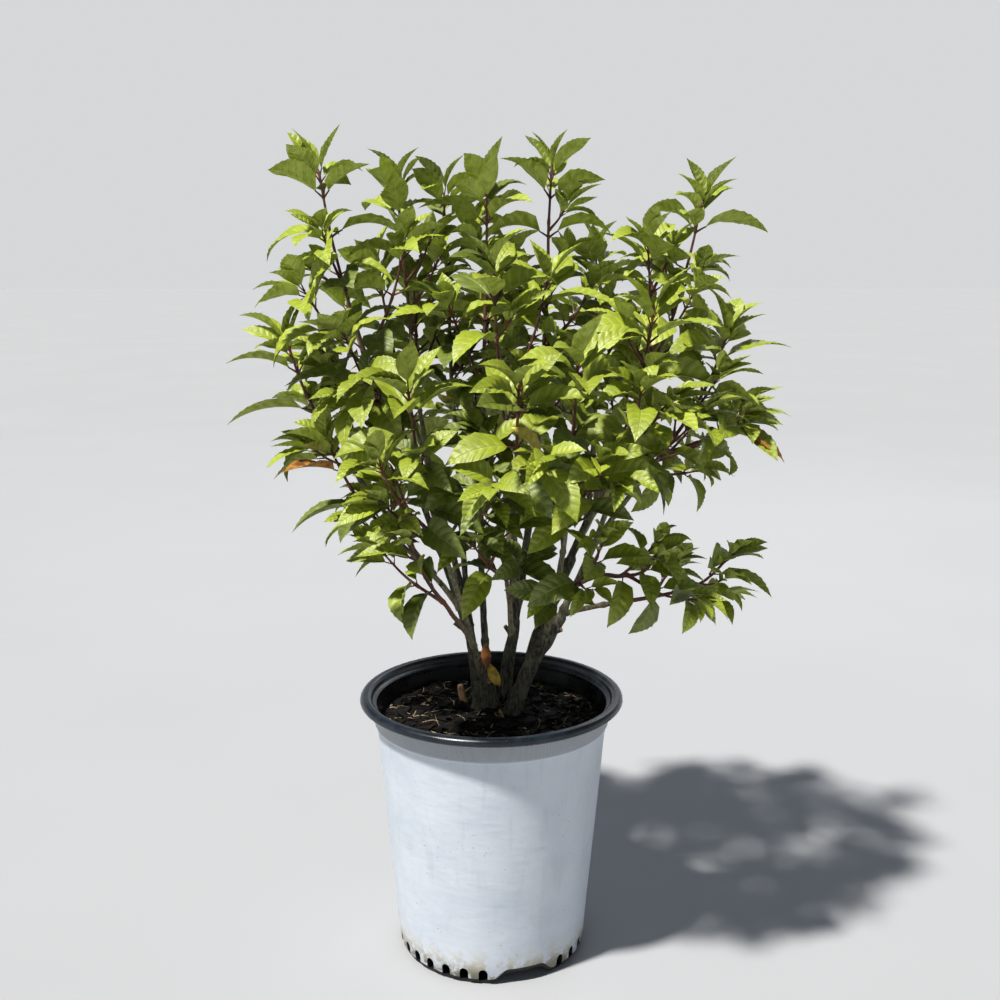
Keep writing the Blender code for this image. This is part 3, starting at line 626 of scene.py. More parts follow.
def leaf_plan(twigs, spurs, keepout):
    """The solids' leaves first, in their order, and then the spurs' leaves in the room that is left."""
    leaves = {name: [] for name in twigs}
    offers = []
    for number, (name, shoots) in enumerate(twigs.items()):
        offers += leaf_offers(number, name, shoots, random.Random(10 * SEED + number))
    place_leaves(offers, keepout, leaves, LEAF_CLEARANCE)
    offers = []
    for number, (name, shoots) in enumerate(spurs.items()):
        offers += leaf_offers(number, name, shoots, random.Random(1000 * SEED + number))
        offers += bud_offers(number, name, twigs[name] + shoots, random.Random(500 * SEED + number))
    place_leaves(offers, keepout, leaves, FINE_CLEARANCE)
    return leaves


# Surfaces: whole arrays of points and faces

def unit(vectors):
    """The vectors brought to length 1."""
    return vectors / np.linalg.norm(vectors, axis=-1, keepdims=True)


def smooth_step(share):
    """3 s^2 - 2 s^3 of a share that is kept between 0 and 1."""
    share = np.clip(share, 0, 1)
    return share * share * (3 - 2 * share)


def lattice_noise(x, y, seed, period=NOISE_SIZE):
    """Smooth noise: random values at whole numbers, blended by 3f^2 - 2f^3. period closes it along x."""
    table = np.random.default_rng(seed).uniform(-1, 1, (NOISE_SIZE, NOISE_SIZE))
    x, y = np.broadcast_arrays(x, y)
    i, j = np.floor(x).astype(int), np.floor(y).astype(int)
    u, v = smooth_step(x - i), smooth_step(y - j)
    left, right, low, high = i % period, (i + 1) % period, j % NOISE_SIZE, (j + 1) % NOISE_SIZE
    near = table[left, low] * (1 - u) + table[right, low] * u
    far = table[left, high] * (1 - u) + table[right, high] * u
    return near * (1 - v) + far * v


def grid_faces(rows, columns, closed):
    """Quads between the neighbouring points of a grid counted row by row. closed joins its last column to its
    first."""
    across = np.arange(columns if closed else columns - 1)
    row, column = np.meshgrid(np.arange(rows - 1), across, indexing="ij")
    a = row * columns + column
    b = row * columns + (column + 1) % columns
    return np.stack([a, b, b + columns, a + columns], axis=-1).reshape(-1, 4)


def fan(first, pole, columns, upward):
    """Triangles from a ring of points, counted from first, to a pole above or below it."""
    around = first + np.arange(columns)
    ahead = first + (np.arange(columns) + 1) % columns
    pair = (around, ahead) if upward else (ahead, around)
    return np.stack([*pair, np.full(columns, pole)], axis=1)


def copies(faces, count, points_each):
    """The same faces once for each of many equal sets of points."""
    shift = np.arange(count) * points_each
    return (faces[None] + shift[:, None, None]).reshape(-1, faces.shape[1])


def surface(name, points, *face_sets, smooth=True):
    """A mesh object from one array of points and arrays of faces, whose corners are counted row by row."""
    points = np.asarray(points, np.float32).reshape(-1, 3)
    sizes = np.concatenate([np.full(len(faces), faces.shape[1]) for faces in face_sets])
    starts = np.concatenate([[0], np.cumsum(sizes)[:-1]]).astype(np.int32)
    corners = np.concatenate([faces.ravel() for faces in face_sets]).astype(np.int32)
    mesh = bpy.data.meshes.new(name)
    mesh.vertices.add(len(points))
    mesh.vertices.foreach_set("co", points.ravel())
    mesh.loops.add(len(corners))
    mesh.loops.foreach_set("vertex_index", corners)
    mesh.polygons.add(len(sizes))
    mesh.polygons.foreach_set("loop_start", starts)
    mesh.polygons.foreach_set("use_smooth", np.full(len(sizes), smooth))
    mesh.update(calc_edges=True)
    made = bpy.data.objects.new(name, mesh)
    bpy.context.scene.collection.objects.link(made)
    return made


def set_attribute(piece, name, values):
    """One number for each point of a piece, for its material to read."""
    layer = piece.data.attributes.new(name, "FLOAT", "POINT")
    layer.data.foreach_set("value", np.asarray(values, np.float32).ravel())


def set_uv(piece, name, points_uv):
    """A UV map from one (u, v) for each point."""
    corners = np.empty(len(piece.data.loops), np.int32)
    piece.data.loops.foreach_get("vertex_index", corners)
    layer = piece.data.uv_layers.new(name=name)
    layer.data.foreach_set("uv", np.asarray(points_uv, np.float32).reshape(-1, 2)[corners].ravel())


def dress(piece, materials, nodes=(), face_materials=None):
    """Gives a finished piece its materials and body, and hides the solids that it stands for."""
    for material in materials:
        piece.data.materials.append(material)
    if face_materials is not None:
        piece.data.polygons.foreach_set("material_index", np.asarray(face_materials, np.int32))
    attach(piece, "root")
    if nodes:
        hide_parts(*nodes)


def smoothed(path, rings):
    """A curve through a path's points, cubic between them, whose slopes follow the neighbouring points."""
    p = np.array([tuple(point) for point in path])
    p = np.vstack([2 * p[0] - p[1], p, 2 * p[-1] - p[-2]])
    place = np.linspace(0, len(path) - 1, rings)
    i = np.minimum(place.astype(int), len(path) - 2)
    f = (place - i)[:, None]
    a, b, c, d = p[i], p[i + 1], p[i + 2], p[i + 3]
    square, cube = 2 * a - 5 * b + 4 * c - d, 3 * b - a - 3 * c + d
    return 0.5 * (2 * b + (c - a) * f + square * f**2 + cube * f**3)


def swept(paths, radii, sides):
    """Rings round many paths at once: point = path + radius * (cos a * side + sin a * other), where side is
    square to the path and to the world axis that it leans on least. radii has one value for each ring or each
    point."""
    ahead = unit(np.gradient(paths, axis=1))
    least = np.abs(ahead.mean(axis=1)).argmin(axis=1)
    side = unit(np.cross(ahead, np.eye(3)[least][:, None, :]))
    other = np.cross(ahead, side)
    turn = 2 * np.pi * np.arange(sides) / sides
    ring = np.cos(turn)[:, None] * side[:, :, None] + np.sin(turn)[:, None] * other[:, :, None]
    radii = radii[..., None] if radii.ndim == 2 else radii
    return paths[:, :, None] + ring * radii[..., None]


def tubes(name, paths, radii, sides):
    """Closed tubes round many paths: the swept rings, and a fan of triangles to a middle point at each end.
    The points of each tube are its rings in turn and then both middle points."""
    count, rings = paths.shape[:2]
    body = swept(paths, radii, sides).reshape(count, rings * sides, 3)
    points = np.concatenate([body, paths[:, :1], paths[:, -1:]], axis=1)
    each = rings * sides + 2
    foot = fan(0, each - 2, sides, False)
    tip = fan((rings - 1) * sides, each - 1, sides, True)
    walls = copies(grid_faces(rings, sides, True), count, each)
    return surface(name, points, walls, copies(foot, count, each), copies(tip, count, each))


def ring_values(values, sides):
    """One value for each ring of each tube, given to every point in the order in which tubes makes them."""
    return np.concatenate([np.repeat(values, sides, axis=1), values[:, :1], values[:, -1:]], axis=1)


def turned_grid(outline, columns, change):
    """An (r, z) outline carried once round +Z: point = (r cos a, r sin a, z), which change then moves."""
    angle = 2 * np.pi * np.arange(columns) / columns
    r, z = outline[:, :1], np.repeat(outline[:, 1:], columns, axis=1)
    return change(np.stack([r * np.cos(angle), r * np.sin(angle), z], axis=2))


def turned_surface(name, profile, columns, change):
    """A surface of revolution from an (r, z) outline that runs from pole to pole, up its outer side. The
    poles are fans."""
    outline = np.array(profile)
    grid = turned_grid(outline[1:-1], columns, change)
    poles = np.array([[0, 0, outline[0, 1]], [0, 0, outline[-1, 1]]])
    rings = len(grid)
    foot = fan(0, rings * columns, columns, False)
    top = fan((rings - 1) * columns, rings * columns + 1, columns, True)
    points = np.concatenate([grid.reshape(-1, 3), poles])
    return surface(name, points, grid_faces(rings, columns, True), foot, top)


def closed_ring(name, outline, columns, change):
    """A ring from a closed (r, z) outline that runs up its outer side, carried once round +Z."""
    grid = turned_grid(outline, columns, change)
    around = np.arange(columns)
    ahead = (around + 1) % columns
    last = (len(grid) - 1) * columns
    seam = np.stack([last + around, last + ahead, ahead, around], axis=1)
    return surface(name, grid, grid_faces(len(grid), columns, True), seam)


def eased(corners):
    """An outline from corners (r, z, ease): each corner is cut back by its ease along both sides, and the cut
    is the curve (1-t)^2 a + 2t(1-t) corner + t^2 b. An ease of 0 leaves the corner as it is."""
    line = []
    for i, (r, z, ease) in enumerate(corners):
        here = np.array([r, z])
        if ease == 0:
            line.append(here[None])
            continue
        before, after = np.array(corners[i - 1][:2]), np.array(corners[(i + 1) % len(corners)][:2])
        a = here + unit(before - here) * ease
        b = here + unit(after - here) * ease
        t = np.linspace(0, 1, EASE_POINTS)[:, None]
        line.append((1 - t) ** 2 * a + 2 * t * (1 - t) * here + t**2 * b)
    return np.concatenate(line)


def filled(outline, pitch):
    """The outline with more points on its long stretches, at most pitch apart."""
    stretches = []
    for a, b in zip(outline, outline[1:]):
        count = max(1, math.ceil(np.linalg.norm(b - a) / pitch))
        stretches.append(a + (b - a) * (np.arange(count) / count)[:, None])
    return np.concatenate(stretches + [outline[-1:]])


# Materials

def linear(hex_colour):
    """An sRGB hex colour as linear red, green, blue and alpha."""
    values = [int(hex_colour[i:i + 2], 16) / 255 for i in (1, 3, 5)]
    return (*(v / 12.92 if v <= 0.04045 else ((v + 0.055) / 1.055) ** 2.4 for v in values), 1.0)


def feed(node, inputs):
    """Gives a node's sockets their numbers, hex colours, or outputs to link."""
    for socket, value in inputs.items():
        if isinstance(value, bpy.types.NodeSocket):
            node.id_data.links.new(value, node.inputs[socket])
        else:
            node.inputs[socket].default_value = linear(value) if isinstance(value, str) else value


def add(tree, kind, inputs=None, **settings):
    """Adds a node with its settings and inputs, and gives back its outputs. Inputs go by number where several
    have one name: Map Range takes its value at 0, its range at 1 and 2 and the new range at 3 and 4, Math
    takes its numbers from 0 on, and Mix takes its share at 0 and its colours at 6 and 7."""
    made = tree.nodes.new(f"ShaderNode{kind}")
    for key, value in settings.items():
        setattr(made, key, value)
    feed(made, inputs or {})
    return made.outputs


def new_material(name, **constants):
    """A Principled material with its plain numbers on the shader's own sockets, the shader, and what adds a
    node to it."""
    material = bpy.data.materials.new(name)
    material.use_nodes = True
    shader = material.node_tree.nodes["Principled BSDF"]
    feed(shader, {key.replace("_", " "): value for key, value in constants.items()})
    return material, shader, partial(add, material.node_tree)


def leaf_material(name, blade, shade, vein, under):
    """Living leaf: a thin waxy skin, satin above and matt and paler below, quilted between its veins."""
    material, shader, node = new_material(name, IOR=1.45, Specular_IOR_Level=0.9)
    at = node("TexCoord")["Object"]
    blade_uv = node("SeparateXYZ", {0: node("UVMap", uv_map="blade")[0]})
    across = node("Math", {0: blade_uv[0], 1: 2.0, 2: -1.0}, operation="MULTIPLY_ADD")[0]
    off_midrib = node("Math", {0: across}, operation="ABSOLUTE")[0]
    midrib = node("MapRange", {0: off_midrib, 1: 0.02, 2: 0.10, 3: 1.0, 4: 0.0}, **SMOOTH)[0]
    phase = node("Math", {0: blade_uv[1], 1: SIDE_VEINS}, operation="MULTIPLY")[0]
    off_vein = node("Math", {0: phase, 1: 0.5}, operation="PINGPONG")[0]
    side_vein = node("MapRange", {0: off_vein, 1: 0.0, 2: 0.18, 3: 0.8, 4: 0.0}, **SMOOTH)[0]
    veins = node("Math", {0: side_vein, 1: midrib}, operation="MAXIMUM")[0]
    # Mottle of about 9 mm, and a fine net of about 1 mm, drawn a little coarser than the real one
    mottle = node("TexNoise", {"Vector": at, "Scale": 1 / (9 * MM), "Detail": 2.0})[0]
    net = node("TexNoise", {"Vector": at, "Scale": 1 / (2.2 * MM), "Detail": 1.0})[0]
    blotch = node("MapRange", {0: mottle, 1: 0.35, 2: 0.7, 3: 0.0, 4: 0.8}, **SMOOTH)[0]
    back = node("NewGeometry")["Backfacing"]
    skin = node("Mix", {0: back, 6: blade, 7: under}, data_type="RGBA")[2]
    body = node("Mix", {0: blotch, 6: skin, 7: shade}, data_type="RGBA")[2]
    drawn = node("Math", {0: veins, 1: 0.4}, operation="MULTIPLY")[0]
    colour = node("Mix", {0: drawn, 6: body, 7: vein}, data_type="RGBA")[2]
    gloss = node("MapRange", {0: mottle, 1: 0.3, 2: 0.7, 3: 0.48, 4: 0.60})[0]
    rough = node("Math", {0: back, 1: 0.2, 2: gloss}, operation="MULTIPLY_ADD")[0]
    dome = node("MapRange", {0: off_vein, 1: 0.0, 2: 0.4}, **SMOOTH)[0]
    quilt = node("Math", {0: dome, 1: midrib}, operation="SUBTRACT")[0]
    height = node("Math", {0: net, 1: 0.10, 2: quilt}, operation="MULTIPLY_ADD")[0]
    relief = node("Bump", {"Height": height, "Distance": 0.4 * MM})[0]
    feed(shader, {"Base Color": colour, "Roughness": rough, "Normal": relief})
    return material


def dead_leaf_material(name, light, dark):
    """Dried leaf: papery, curled and matte, with darker blotches."""
    material, shader, node = new_material(name, Roughness=0.75)
    at = node("TexCoord")["Object"]
    mottle = node("TexNoise", {"Vector": at, "Scale": 1 / (8 * MM), "Detail": 3.0})[0]
    crinkle = node("TexNoise", {"Vector": at, "Scale": 1 / (2 * MM), "Detail": 3.0})[0]
    blotch = node("MapRange", {0: mottle, 1: 0.35, 2: 0.65}, **SMOOTH)[0]
    colour = node("Mix", {0: blotch, 6: light, 7: dark}, data_type="RGBA")[2]
    relief = node("Bump", {"Height": crinkle, "Distance": 0.3 * MM})[0]
    feed(shader, {"Base Color": colour, "Normal": relief})
    return material


def stem_material():
    """Hydrangea stem: purple-brown and smooth while young, then olive, then grey-brown bark that splits
    lengthwise into flaking strips. The attribute age runs from 0 at a shoot's tip to 1 on old wood."""
    material, shader, node = new_material("stem_bark", Specular_IOR_Level=0.35)
    age = node("Attribute", attribute_name="age")["Fac"]
    at = node("TexCoord")["Object"]
    # Grain of 2.2 mm drawn out 4 times, and bark strips of 5 mm drawn out 8 times, both along the stem
    longwise = node("Mapping", {0: at, "Scale": (1, 1, 0.25)})[0]
    longer = node("Mapping", {0: at, "Scale": (1, 1, 0.12)})[0]
    grain = node("TexNoise", {"Vector": longwise, "Scale": 1 / (2.2 * MM), "Detail": 4.0})[0]
    strip = node("TexNoise", {"Vector": longer, "Scale": 1 / (5 * MM), "Detail": 3.0, "Distortion": 0.4})[0]
    patch = node("TexNoise", {"Vector": at, "Scale": 1 / (20 * MM), "Detail": 3.0})[0]
    patchy = node("MapRange", {0: patch, 1: 0.35, 2: 0.65}, **SMOOTH)[0]
    grainy = node("MapRange", {0: grain, 1: 0.36, 2: 0.64}, **SMOOTH)[0]
    young = node("Mix", {0: patchy, 6: "#4A2926", 7: "#6B4233"}, data_type="RGBA")[2]
    middle = node("Mix", {0: grainy, 6: "#5E5A44", 7: "#8A8668"}, data_type="RGBA")[2]
    old = node("Mix", {0: grainy, 6: "#2E2B26", 7: "#5C584B"}, data_type="RGBA")[2]
    first = node("MapRange", {0: age, 1: 0.08, 2: 0.34}, **SMOOTH)[0]
    second = node("MapRange", {0: age, 1: 0.45, 2: 0.8}, **SMOOTH)[0]
    colour = node("Mix", {0: first, 6: young, 7: middle}, data_type="RGBA")[2]
    colour = node("Mix", {0: second, 6: colour, 7: old}, data_type="RGBA")[2]
    # Grey-green film of algae on old wood, in patches
    mossy = node("MapRange", {0: patch, 1: 0.46, 2: 0.62}, **SMOOTH)[0]
    aged = node("MapRange", {0: age, 1: 0.6, 2: 0.95, 3: 0.0, 4: 0.6}, **SMOOTH)[0]
    algae = node("Math", {0: mossy, 1: aged}, operation="MULTIPLY")[0]
    colour = node("Mix", {0: algae, 6: colour, 7: "#5A604A"}, data_type="RGBA")[2]
    # Splits: thin dark lines where the strip noise passes its middle value
    off_middle = node("Math", {0: strip, 1: 0.5}, operation="SUBTRACT")[0]
    off_middle = node("Math", {0: off_middle}, operation="ABSOLUTE")[0]
    line = node("MapRange", {0: off_middle, 1: 0.0, 2: 0.03, 3: 1.0, 4: 0.0}, **SMOOTH)[0]
    dry = node("MapRange", {0: age, 1: 0.4, 2: 0.8, 3: 0.1, 4: 0.75}, **SMOOTH)[0]
    split = node("Math", {0: line, 1: dry}, operation="MULTIPLY")[0]
    colour = node("Mix", {0: split, 6: colour, 7: "#1B1814"}, data_type="RGBA")[2]
    # Lenticels: pale spots about 1.2 mm long
    cells = node("TexVoronoi", {"Vector": at, "Scale": 1 / (4 * MM)})["Distance"]
    spot = node("MapRange", {0: cells, 1: 0.1, 2: 0.2, 3: 0.4, 4: 0.0}, **SMOOTH)[0]
    colour = node("Mix", {0: spot, 6: colour, 7: "#8E836D"}, data_type="RGBA")[2]
    rough = node("MapRange", {0: age, 1: 0.1, 2: 0.6, 3: 0.45, 4: 0.9}, **SMOOTH)[0]
    height = node("Math", {0: split, 1: -0.8, 2: grain}, operation="MULTIPLY_ADD")[0]
    relief = node("Bump", {"Height": height, "Distance": 0.9 * MM})[0]
    feed(shader, {"Base Color": colour, "Roughness": rough, "Normal": relief})
    return material


def cut_wood_material():
    """Pruned wood: a dry tan cut, streaked with brown where it has weathered."""
    material, shader, node = new_material("cut_wood", Roughness=0.8, Specular_IOR_Level=0.3)
    longwise = node("Mapping", {0: node("TexCoord")["Object"], "Scale": (1, 1, 0.3)})[0]
    grain = node("TexNoise", {"Vector": longwise, "Scale": 1 / (3 * MM), "Detail": 4.0})[0]
    streak = node("MapRange", {0: grain, 1: 0.3, 2: 0.7}, **SMOOTH)[0]
    colour = node("Mix", {0: streak, 6: "#BE9C74", 7: "#6F4E34"}, data_type="RGBA")[2]
    relief = node("Bump", {"Height": grain, "Distance": 0.5 * MM})[0]
    feed(shader, {"Base Color": colour, "Normal": relief})
    return material


def pot_material():
    """Blow-moulded black polyethylene: slate grey with a satin skin on its weathered rim, blacker below."""
    material, shader, node = new_material("black_polyethylene", IOR=1.5, Specular_IOR_Level=0.45)
    at = node("TexCoord")["Object"]
    flat = node("Mapping", {0: at, "Scale": (1, 1, 6)})[0]
    dust = node("TexNoise", {"Vector": at, "Scale": 1 / (30 * MM), "Detail": 5.0, "Roughness": 0.65})[0]
    scratch = node("TexNoise", {"Vector": flat, "Scale": 1 / (5 * MM), "Detail": 4.0})[0]
    grain = node("TexNoise", {"Vector": at, "Scale": 1 / (1.2 * MM), "Detail": 2.0})[0]
    grey_share = node("MapRange", {0: dust, 1: 0.42, 2: 0.75}, **SMOOTH)[0]
    colour = node("Mix", {0: grey_share, 6: "#0E151C", 7: "#1F2A35"}, data_type="RGBA")[2]
    scuffed = node("MapRange", {0: scratch, 1: 0.62, 2: 0.78, 3: 0.0, 4: 0.3}, **SMOOTH)[0]
    colour = node("Mix", {0: scuffed, 6: colour, 7: "#59616A"}, data_type="RGBA")[2]
    height = node("SeparateXYZ", {0: at})[2]
    # Dust and scuffs on the rim, plain black below it, rougher towards the foot
    upper = node("MapRange", {0: height, 1: POT_HEIGHT - 19 * MM, 2: POT_HEIGHT - 5 * MM}, **SMOOTH)[0]
    colour = node("Mix", {0: upper, 6: "#060708", 7: colour}, data_type="RGBA")[2]
    gloss = node("MapRange", {0: dust, 1: 0.3, 2: 0.7, 3: 0.22, 4: 0.36}, **SMOOTH)[0]
    lower = node("MapRange", {0: height, 1: 20 * MM, 2: 260 * MM, 3: 0.35, 4: 0.0}, **SMOOTH)[0]
    rough = node("Math", {0: gloss, 1: lower}, operation="ADD")[0]
    relief = node("Bump", {"Height": grain, "Distance": 0.05 * MM})[0]
    feed(shader, {"Base Color": colour, "Roughness": rough, "Normal": relief})
    return material


def film_material():
    """White label film moulded on to the wall: satin and faintly blue, with soil specks and water stains."""
    material, shader, node = new_material("white_label_film", IOR=1.46)
    at = node("TexCoord")["Object"]
    height = node("SeparateXYZ", {0: at})[2]
    cloud = node("TexNoise", {"Vector": at, "Scale": 1 / (60 * MM), "Detail": 4.0, "Roughness": 0.6})[0]
    drift = node("TexNoise", {"Vector": at, "Scale": 1 / (40 * MM), "Detail": 3.0})[0]
    streaks = node("Mapping", {0: at, "Scale": (1, 1, 0.1)})[0]
    runs = node("TexNoise", {"Vector": streaks, "Scale": 1 / (9 * MM), "Detail": 3.0})[0]
    cloudy = node("MapRange", {0: cloud, 1: 0.3, 2: 0.75}, **SMOOTH)[0]
    colour = node("Mix", {0: cloudy, 6: "#CBD2DB", 7: "#BDC6D1"}, data_type="RGBA")[2]
    # Faint runs where water carried dust down the wall
    stained = node("MapRange", {0: runs, 1: 0.55, 2: 0.75, 3: 0.0, 4: 0.2}, **SMOOTH)[0]
    colour = node("Mix", {0: stained, 6: colour, 7: "#A5ADB1"}, data_type="RGBA")[2]
    # Yellowish splash from the ground, fading out over the lowest 50 mm
    splash = node("TexNoise", {"Vector": at, "Scale": 1 / (12 * MM), "Detail": 5.0, "Roughness": 0.7})[0]
    splashed = node("MapRange", {0: splash, 1: 0.4, 2: 0.62, 3: 0.0, 4: 0.75}, **SMOOTH)[0]
    low = node("MapRange", {0: height, 1: 8 * MM, 2: 50 * MM, 3: 1.0, 4: 0.0}, **SMOOTH)[0]
    dirty = node("Math", {0: splashed, 1: low}, operation="MULTIPLY")[0]
    colour = node("Mix", {0: dirty, 6: colour, 7: "#B3A87F"}, data_type="RGBA")[2]
    # Dark soil rubbed into the lowest 30 mm, round the slots
    smear = node("MapRange", {0: splash, 1: 0.42, 2: 0.56, 3: 0.25, 4: 1.0}, **SMOOTH)[0]
    foot = node("MapRange", {0: height, 1: 6 * MM, 2: 30 * MM, 3: 0.9, 4: 0.0}, **SMOOTH)[0]
    soiled = node("Math", {0: smear, 1: foot}, operation="MULTIPLY")[0]
    colour = node("Mix", {0: soiled, 6: colour, 7: "#4F4A40"}, data_type="RGBA")[2]
    # Grey band on the collar under the lip: partly the collar's own greyer colour, partly painted shade from
    # the lip above it
    edge = COLLAR_FOOT - 1 * MM
    grey_share = node("MapRange", {0: height, 1: edge, 2: edge + 1.5 * MM, 3: 0.0, 4: 0.85}, **SMOOTH)[0]
    colour = node("Mix", {0: grey_share, 6: colour, 7: "#90969C"}, data_type="RGBA")[2]
    # The printer's screen on the collar: paler dots of 1.3 mm, a little coarser than the real ones
    screen = node("TexVoronoi", {"Vector": at, "Scale": 1 / (1.6 * MM), "Randomness": 0.35})["Distance"]
    dotted = node("MapRange", {0: screen, 1: 0.2, 2: 0.5, 3: 0.3, 4: 0.0}, **SMOOTH)[0]
    dots = node("Math", {0: dotted, 1: grey_share}, operation="MULTIPLY")[0]
    colour = node("Mix", {0: dots, 6: colour, 7: "#C9CDD0"}, data_type="RGBA")[2]
    # Soil specks of about 1 mm, in drifts
    cells = node("TexVoronoi", {"Vector": at, "Scale": 1 / (6 * MM)})["Distance"]
    dot = node("MapRange", {0: cells, 1: 0.05, 2: 0.12, 3: 1.0, 4: 0.0}, **SMOOTH)[0]
    drifted = node("MapRange", {0: drift, 1: 0.5, 2: 0.6}, **SMOOTH)[0]
    speck = node("Math", {0: dot, 1: drifted}, operation="MULTIPLY")[0]
    colour = node("Mix", {0: speck, 6: colour, 7: "#4A453D"}, data_type="RGBA")[2]
    rough = node("MapRange", {0: cloud, 1: 0.3, 2: 0.7, 3: 0.32, 4: 0.5}, **SMOOTH)[0]
    squat = node("Mapping", {0: at, "Scale": (1, 1, 2.5)})[0]
    wavy = node("TexNoise", {"Vector": squat, "Scale": 1 / (22 * MM), "Detail": 3.0})[0]
    relief = node("Bump", {"Height": wavy, "Distance": 0.5 * MM})[0]
    feed(shader, {"Base Color": colour, "Roughness": rough, "Normal": relief})
    return material


def mix_material():
    """Damp composted bark: near black, with brown crumbs of about 3 mm."""
    material, shader, node = new_material("composted_bark", Roughness=0.92, Specular_IOR_Level=0.15)
    at = node("TexCoord")["Object"]
    crumbs = node("TexNoise", {"Vector": at, "Scale": 1 / (3 * MM), "Detail": 5.0, "Roughness": 0.7})[0]
    brown = node("MapRange", {0: crumbs, 1: 0.45, 2: 0.75}, **SMOOTH)[0]
    colour = node("Mix", {0: brown, 6: "#060504", 7: "#17110C"}, data_type="RGBA")[2]
    relief = node("Bump", {"Height": crumbs, "Distance": 1.6 * MM})[0]
    feed(shader, {"Base Color": colour, "Normal": relief})
    return material


def chip_material(name, dark, light):
    """Bark, wood or stone broken small and damp, with grain of about 1.5 mm."""
    material, shader, node = new_material(name, Roughness=0.8, Specular_IOR_Level=0.2)
    at = node("TexCoord")["Object"]
    grain = node("TexNoise", {"Vector": at, "Scale": 1 / (1.5 * MM), "Detail": 3.0})[0]
    grainy = node("MapRange", {0: grain, 1: 0.3, 2: 0.7}, **SMOOTH)[0]
    colour = node("Mix", {0: grainy, 6: dark, 7: light}, data_type="RGBA")[2]
    relief = node("Bump", {"Height": grain, "Distance": 0.4 * MM})[0]
    feed(shader, {"Base Color": colour, "Normal": relief})
    return material


def floor_material():
    """Matt painted studio floor: pale grey, a little uneven."""
    material, shader, node = new_material("studio_floor", Roughness=0.9, Specular_IOR_Level=0.2)
    cloud = node("TexNoise", {"Vector": node("TexCoord")["Object"], "Scale": 2.0})[0]
    feed(shader, {"Base Color": node("Mix", {0: cloud, 6: "#A3A5A8", 7: "#A8AAAD"}, data_type="RGBA")[2]})
    return material


# Plant

def wandered(paths, amount, seed):
    """Adds a slow sideways wander to many paths: a noise of 7 waves along the length for each axis, times the
    root of sin(pi share), which is nil at both ends."""
    count, rings = paths.shape[:2]
    share = np.linspace(0, 1, rings)
    place = share * 7 + np.arange(count)[:, None] * 13
    shift = np.stack([lattice_noise(place, 0.5, seed + k) for k in range(3)], axis=2)
    return paths + shift * amount * np.sin(np.pi * share)[:, None] ** 0.5


def distances_from_tip(paths):
    """How far each point of many paths is from its tip, along the path."""
    steps = np.linalg.norm(np.diff(paths, axis=1), axis=2)
    total = np.cumsum(steps[:, ::-1], axis=1)[:, ::-1]
    return np.concatenate([total, np.zeros((len(paths), 1))], axis=1)


def node_swelling(from_tip, turn):
    """Swellings at the leaf nodes, on two sides that change by a quarter turn from one node to the next:
    exp(-(d / 3 mm)^2) * cos(turn)^2 at every other node, and with sin in place of cos at the rest."""
    nodes = (1 - np.array(node_shares(LONGEST_STEM))) * LONGEST_STEM
    near = np.exp(-(((from_tip[..., None] - nodes) / (3 * MM)) ** 2))
    even, odd = near[..., ::2].sum(axis=-1), near[..., 1::2].sum(axis=-1)
    return even[..., None] * np.cos(turn) ** 2 + odd[..., None] * np.sin(turn) ** 2


def trunk_relief(height):
    """Old bark round every trunk, as a share of its radius: lumps, less fissures where a ridged noise is near
    its crest, plus strips and fine grain. The last number of each noise closes it round the trunk."""
    column = np.arange(TRUNK_SIDES) / TRUNK_SIDES * 12
    level = (height / (20 * MM))[:, :, None] + np.arange(len(TRUNKS))[:, None, None] * 17
    fissure = 1 - np.abs(lattice_noise(column, level, 3, 12))
    strips = lattice_noise(column * 2, level * 1.4, 7, 24)
    lumps = lattice_noise(column / 4, level / 1.3, 5, 3)
    fine = lattice_noise(column * 4, level * 6, 9, 48)
    return 0.13 * lumps - 0.15 * fissure**4 + 0.05 * strips + 0.025 * fine


def make_trunks(limbs, materials):
    """Old trunks with flared feet, domed tops and fissured bark. Radius = taper * (1 + flare e^(-h / 9 mm)) *
    (1 + relief), and over the last rings times the root of 1 - (share of the dome)^2."""
    below_top = np.linspace(1, 0, TRUNK_RINGS)
    paths = np.stack([smoothed(limbs[name].path, TRUNK_RINGS) for name in TRUNKS])
    paths[:, :, 2] -= below_top**12 * TRUNK_SINK
    height = paths[:, :, 2] - SOIL_LEVEL
    radii = np.stack([np.linspace(*limbs[name].radii, TRUNK_RINGS) for name in TRUNKS])
    flare = (FLARE - 1 + EXTRA_FLARE) * np.exp(-np.maximum(height, 0) / FLARE_HEIGHT)
    dome = np.clip(1 - below_top * (TRUNK_RINGS - 1) / TRUNK_DOME_RINGS, 0, 0.97)
    radii = radii * (1 + flare) * np.sqrt(1 - dome**2)
    radii = radii[:, :, None] * (1 + trunk_relief(height))
    made = tubes("trunks", wandered(paths, 1.2 * MM, 11), radii, TRUNK_SIDES)
    set_attribute(made, "age", np.ones(len(made.data.vertices)))
    dress(made, [materials["stem"]], TRUNKS)


def stub_lines(limbs):
    """Foot, top and radius of every stub: those in the potting mix, and then those on the limbs."""
    lines = [(Vector(foot) * MM, Vector(top) * MM, radius * MM) for foot, top, radius in SOIL_STUBS]
    for name, share, turn, length, radius in PRUNED:
        start, ahead = along(limbs[name].path, share)
        heading = (ahead * 0.72 + turned_side(ahead, math.radians(turn)) * 0.7).normalized()
        lines.append((start, start + heading * length * MM, radius * MM))
    return lines


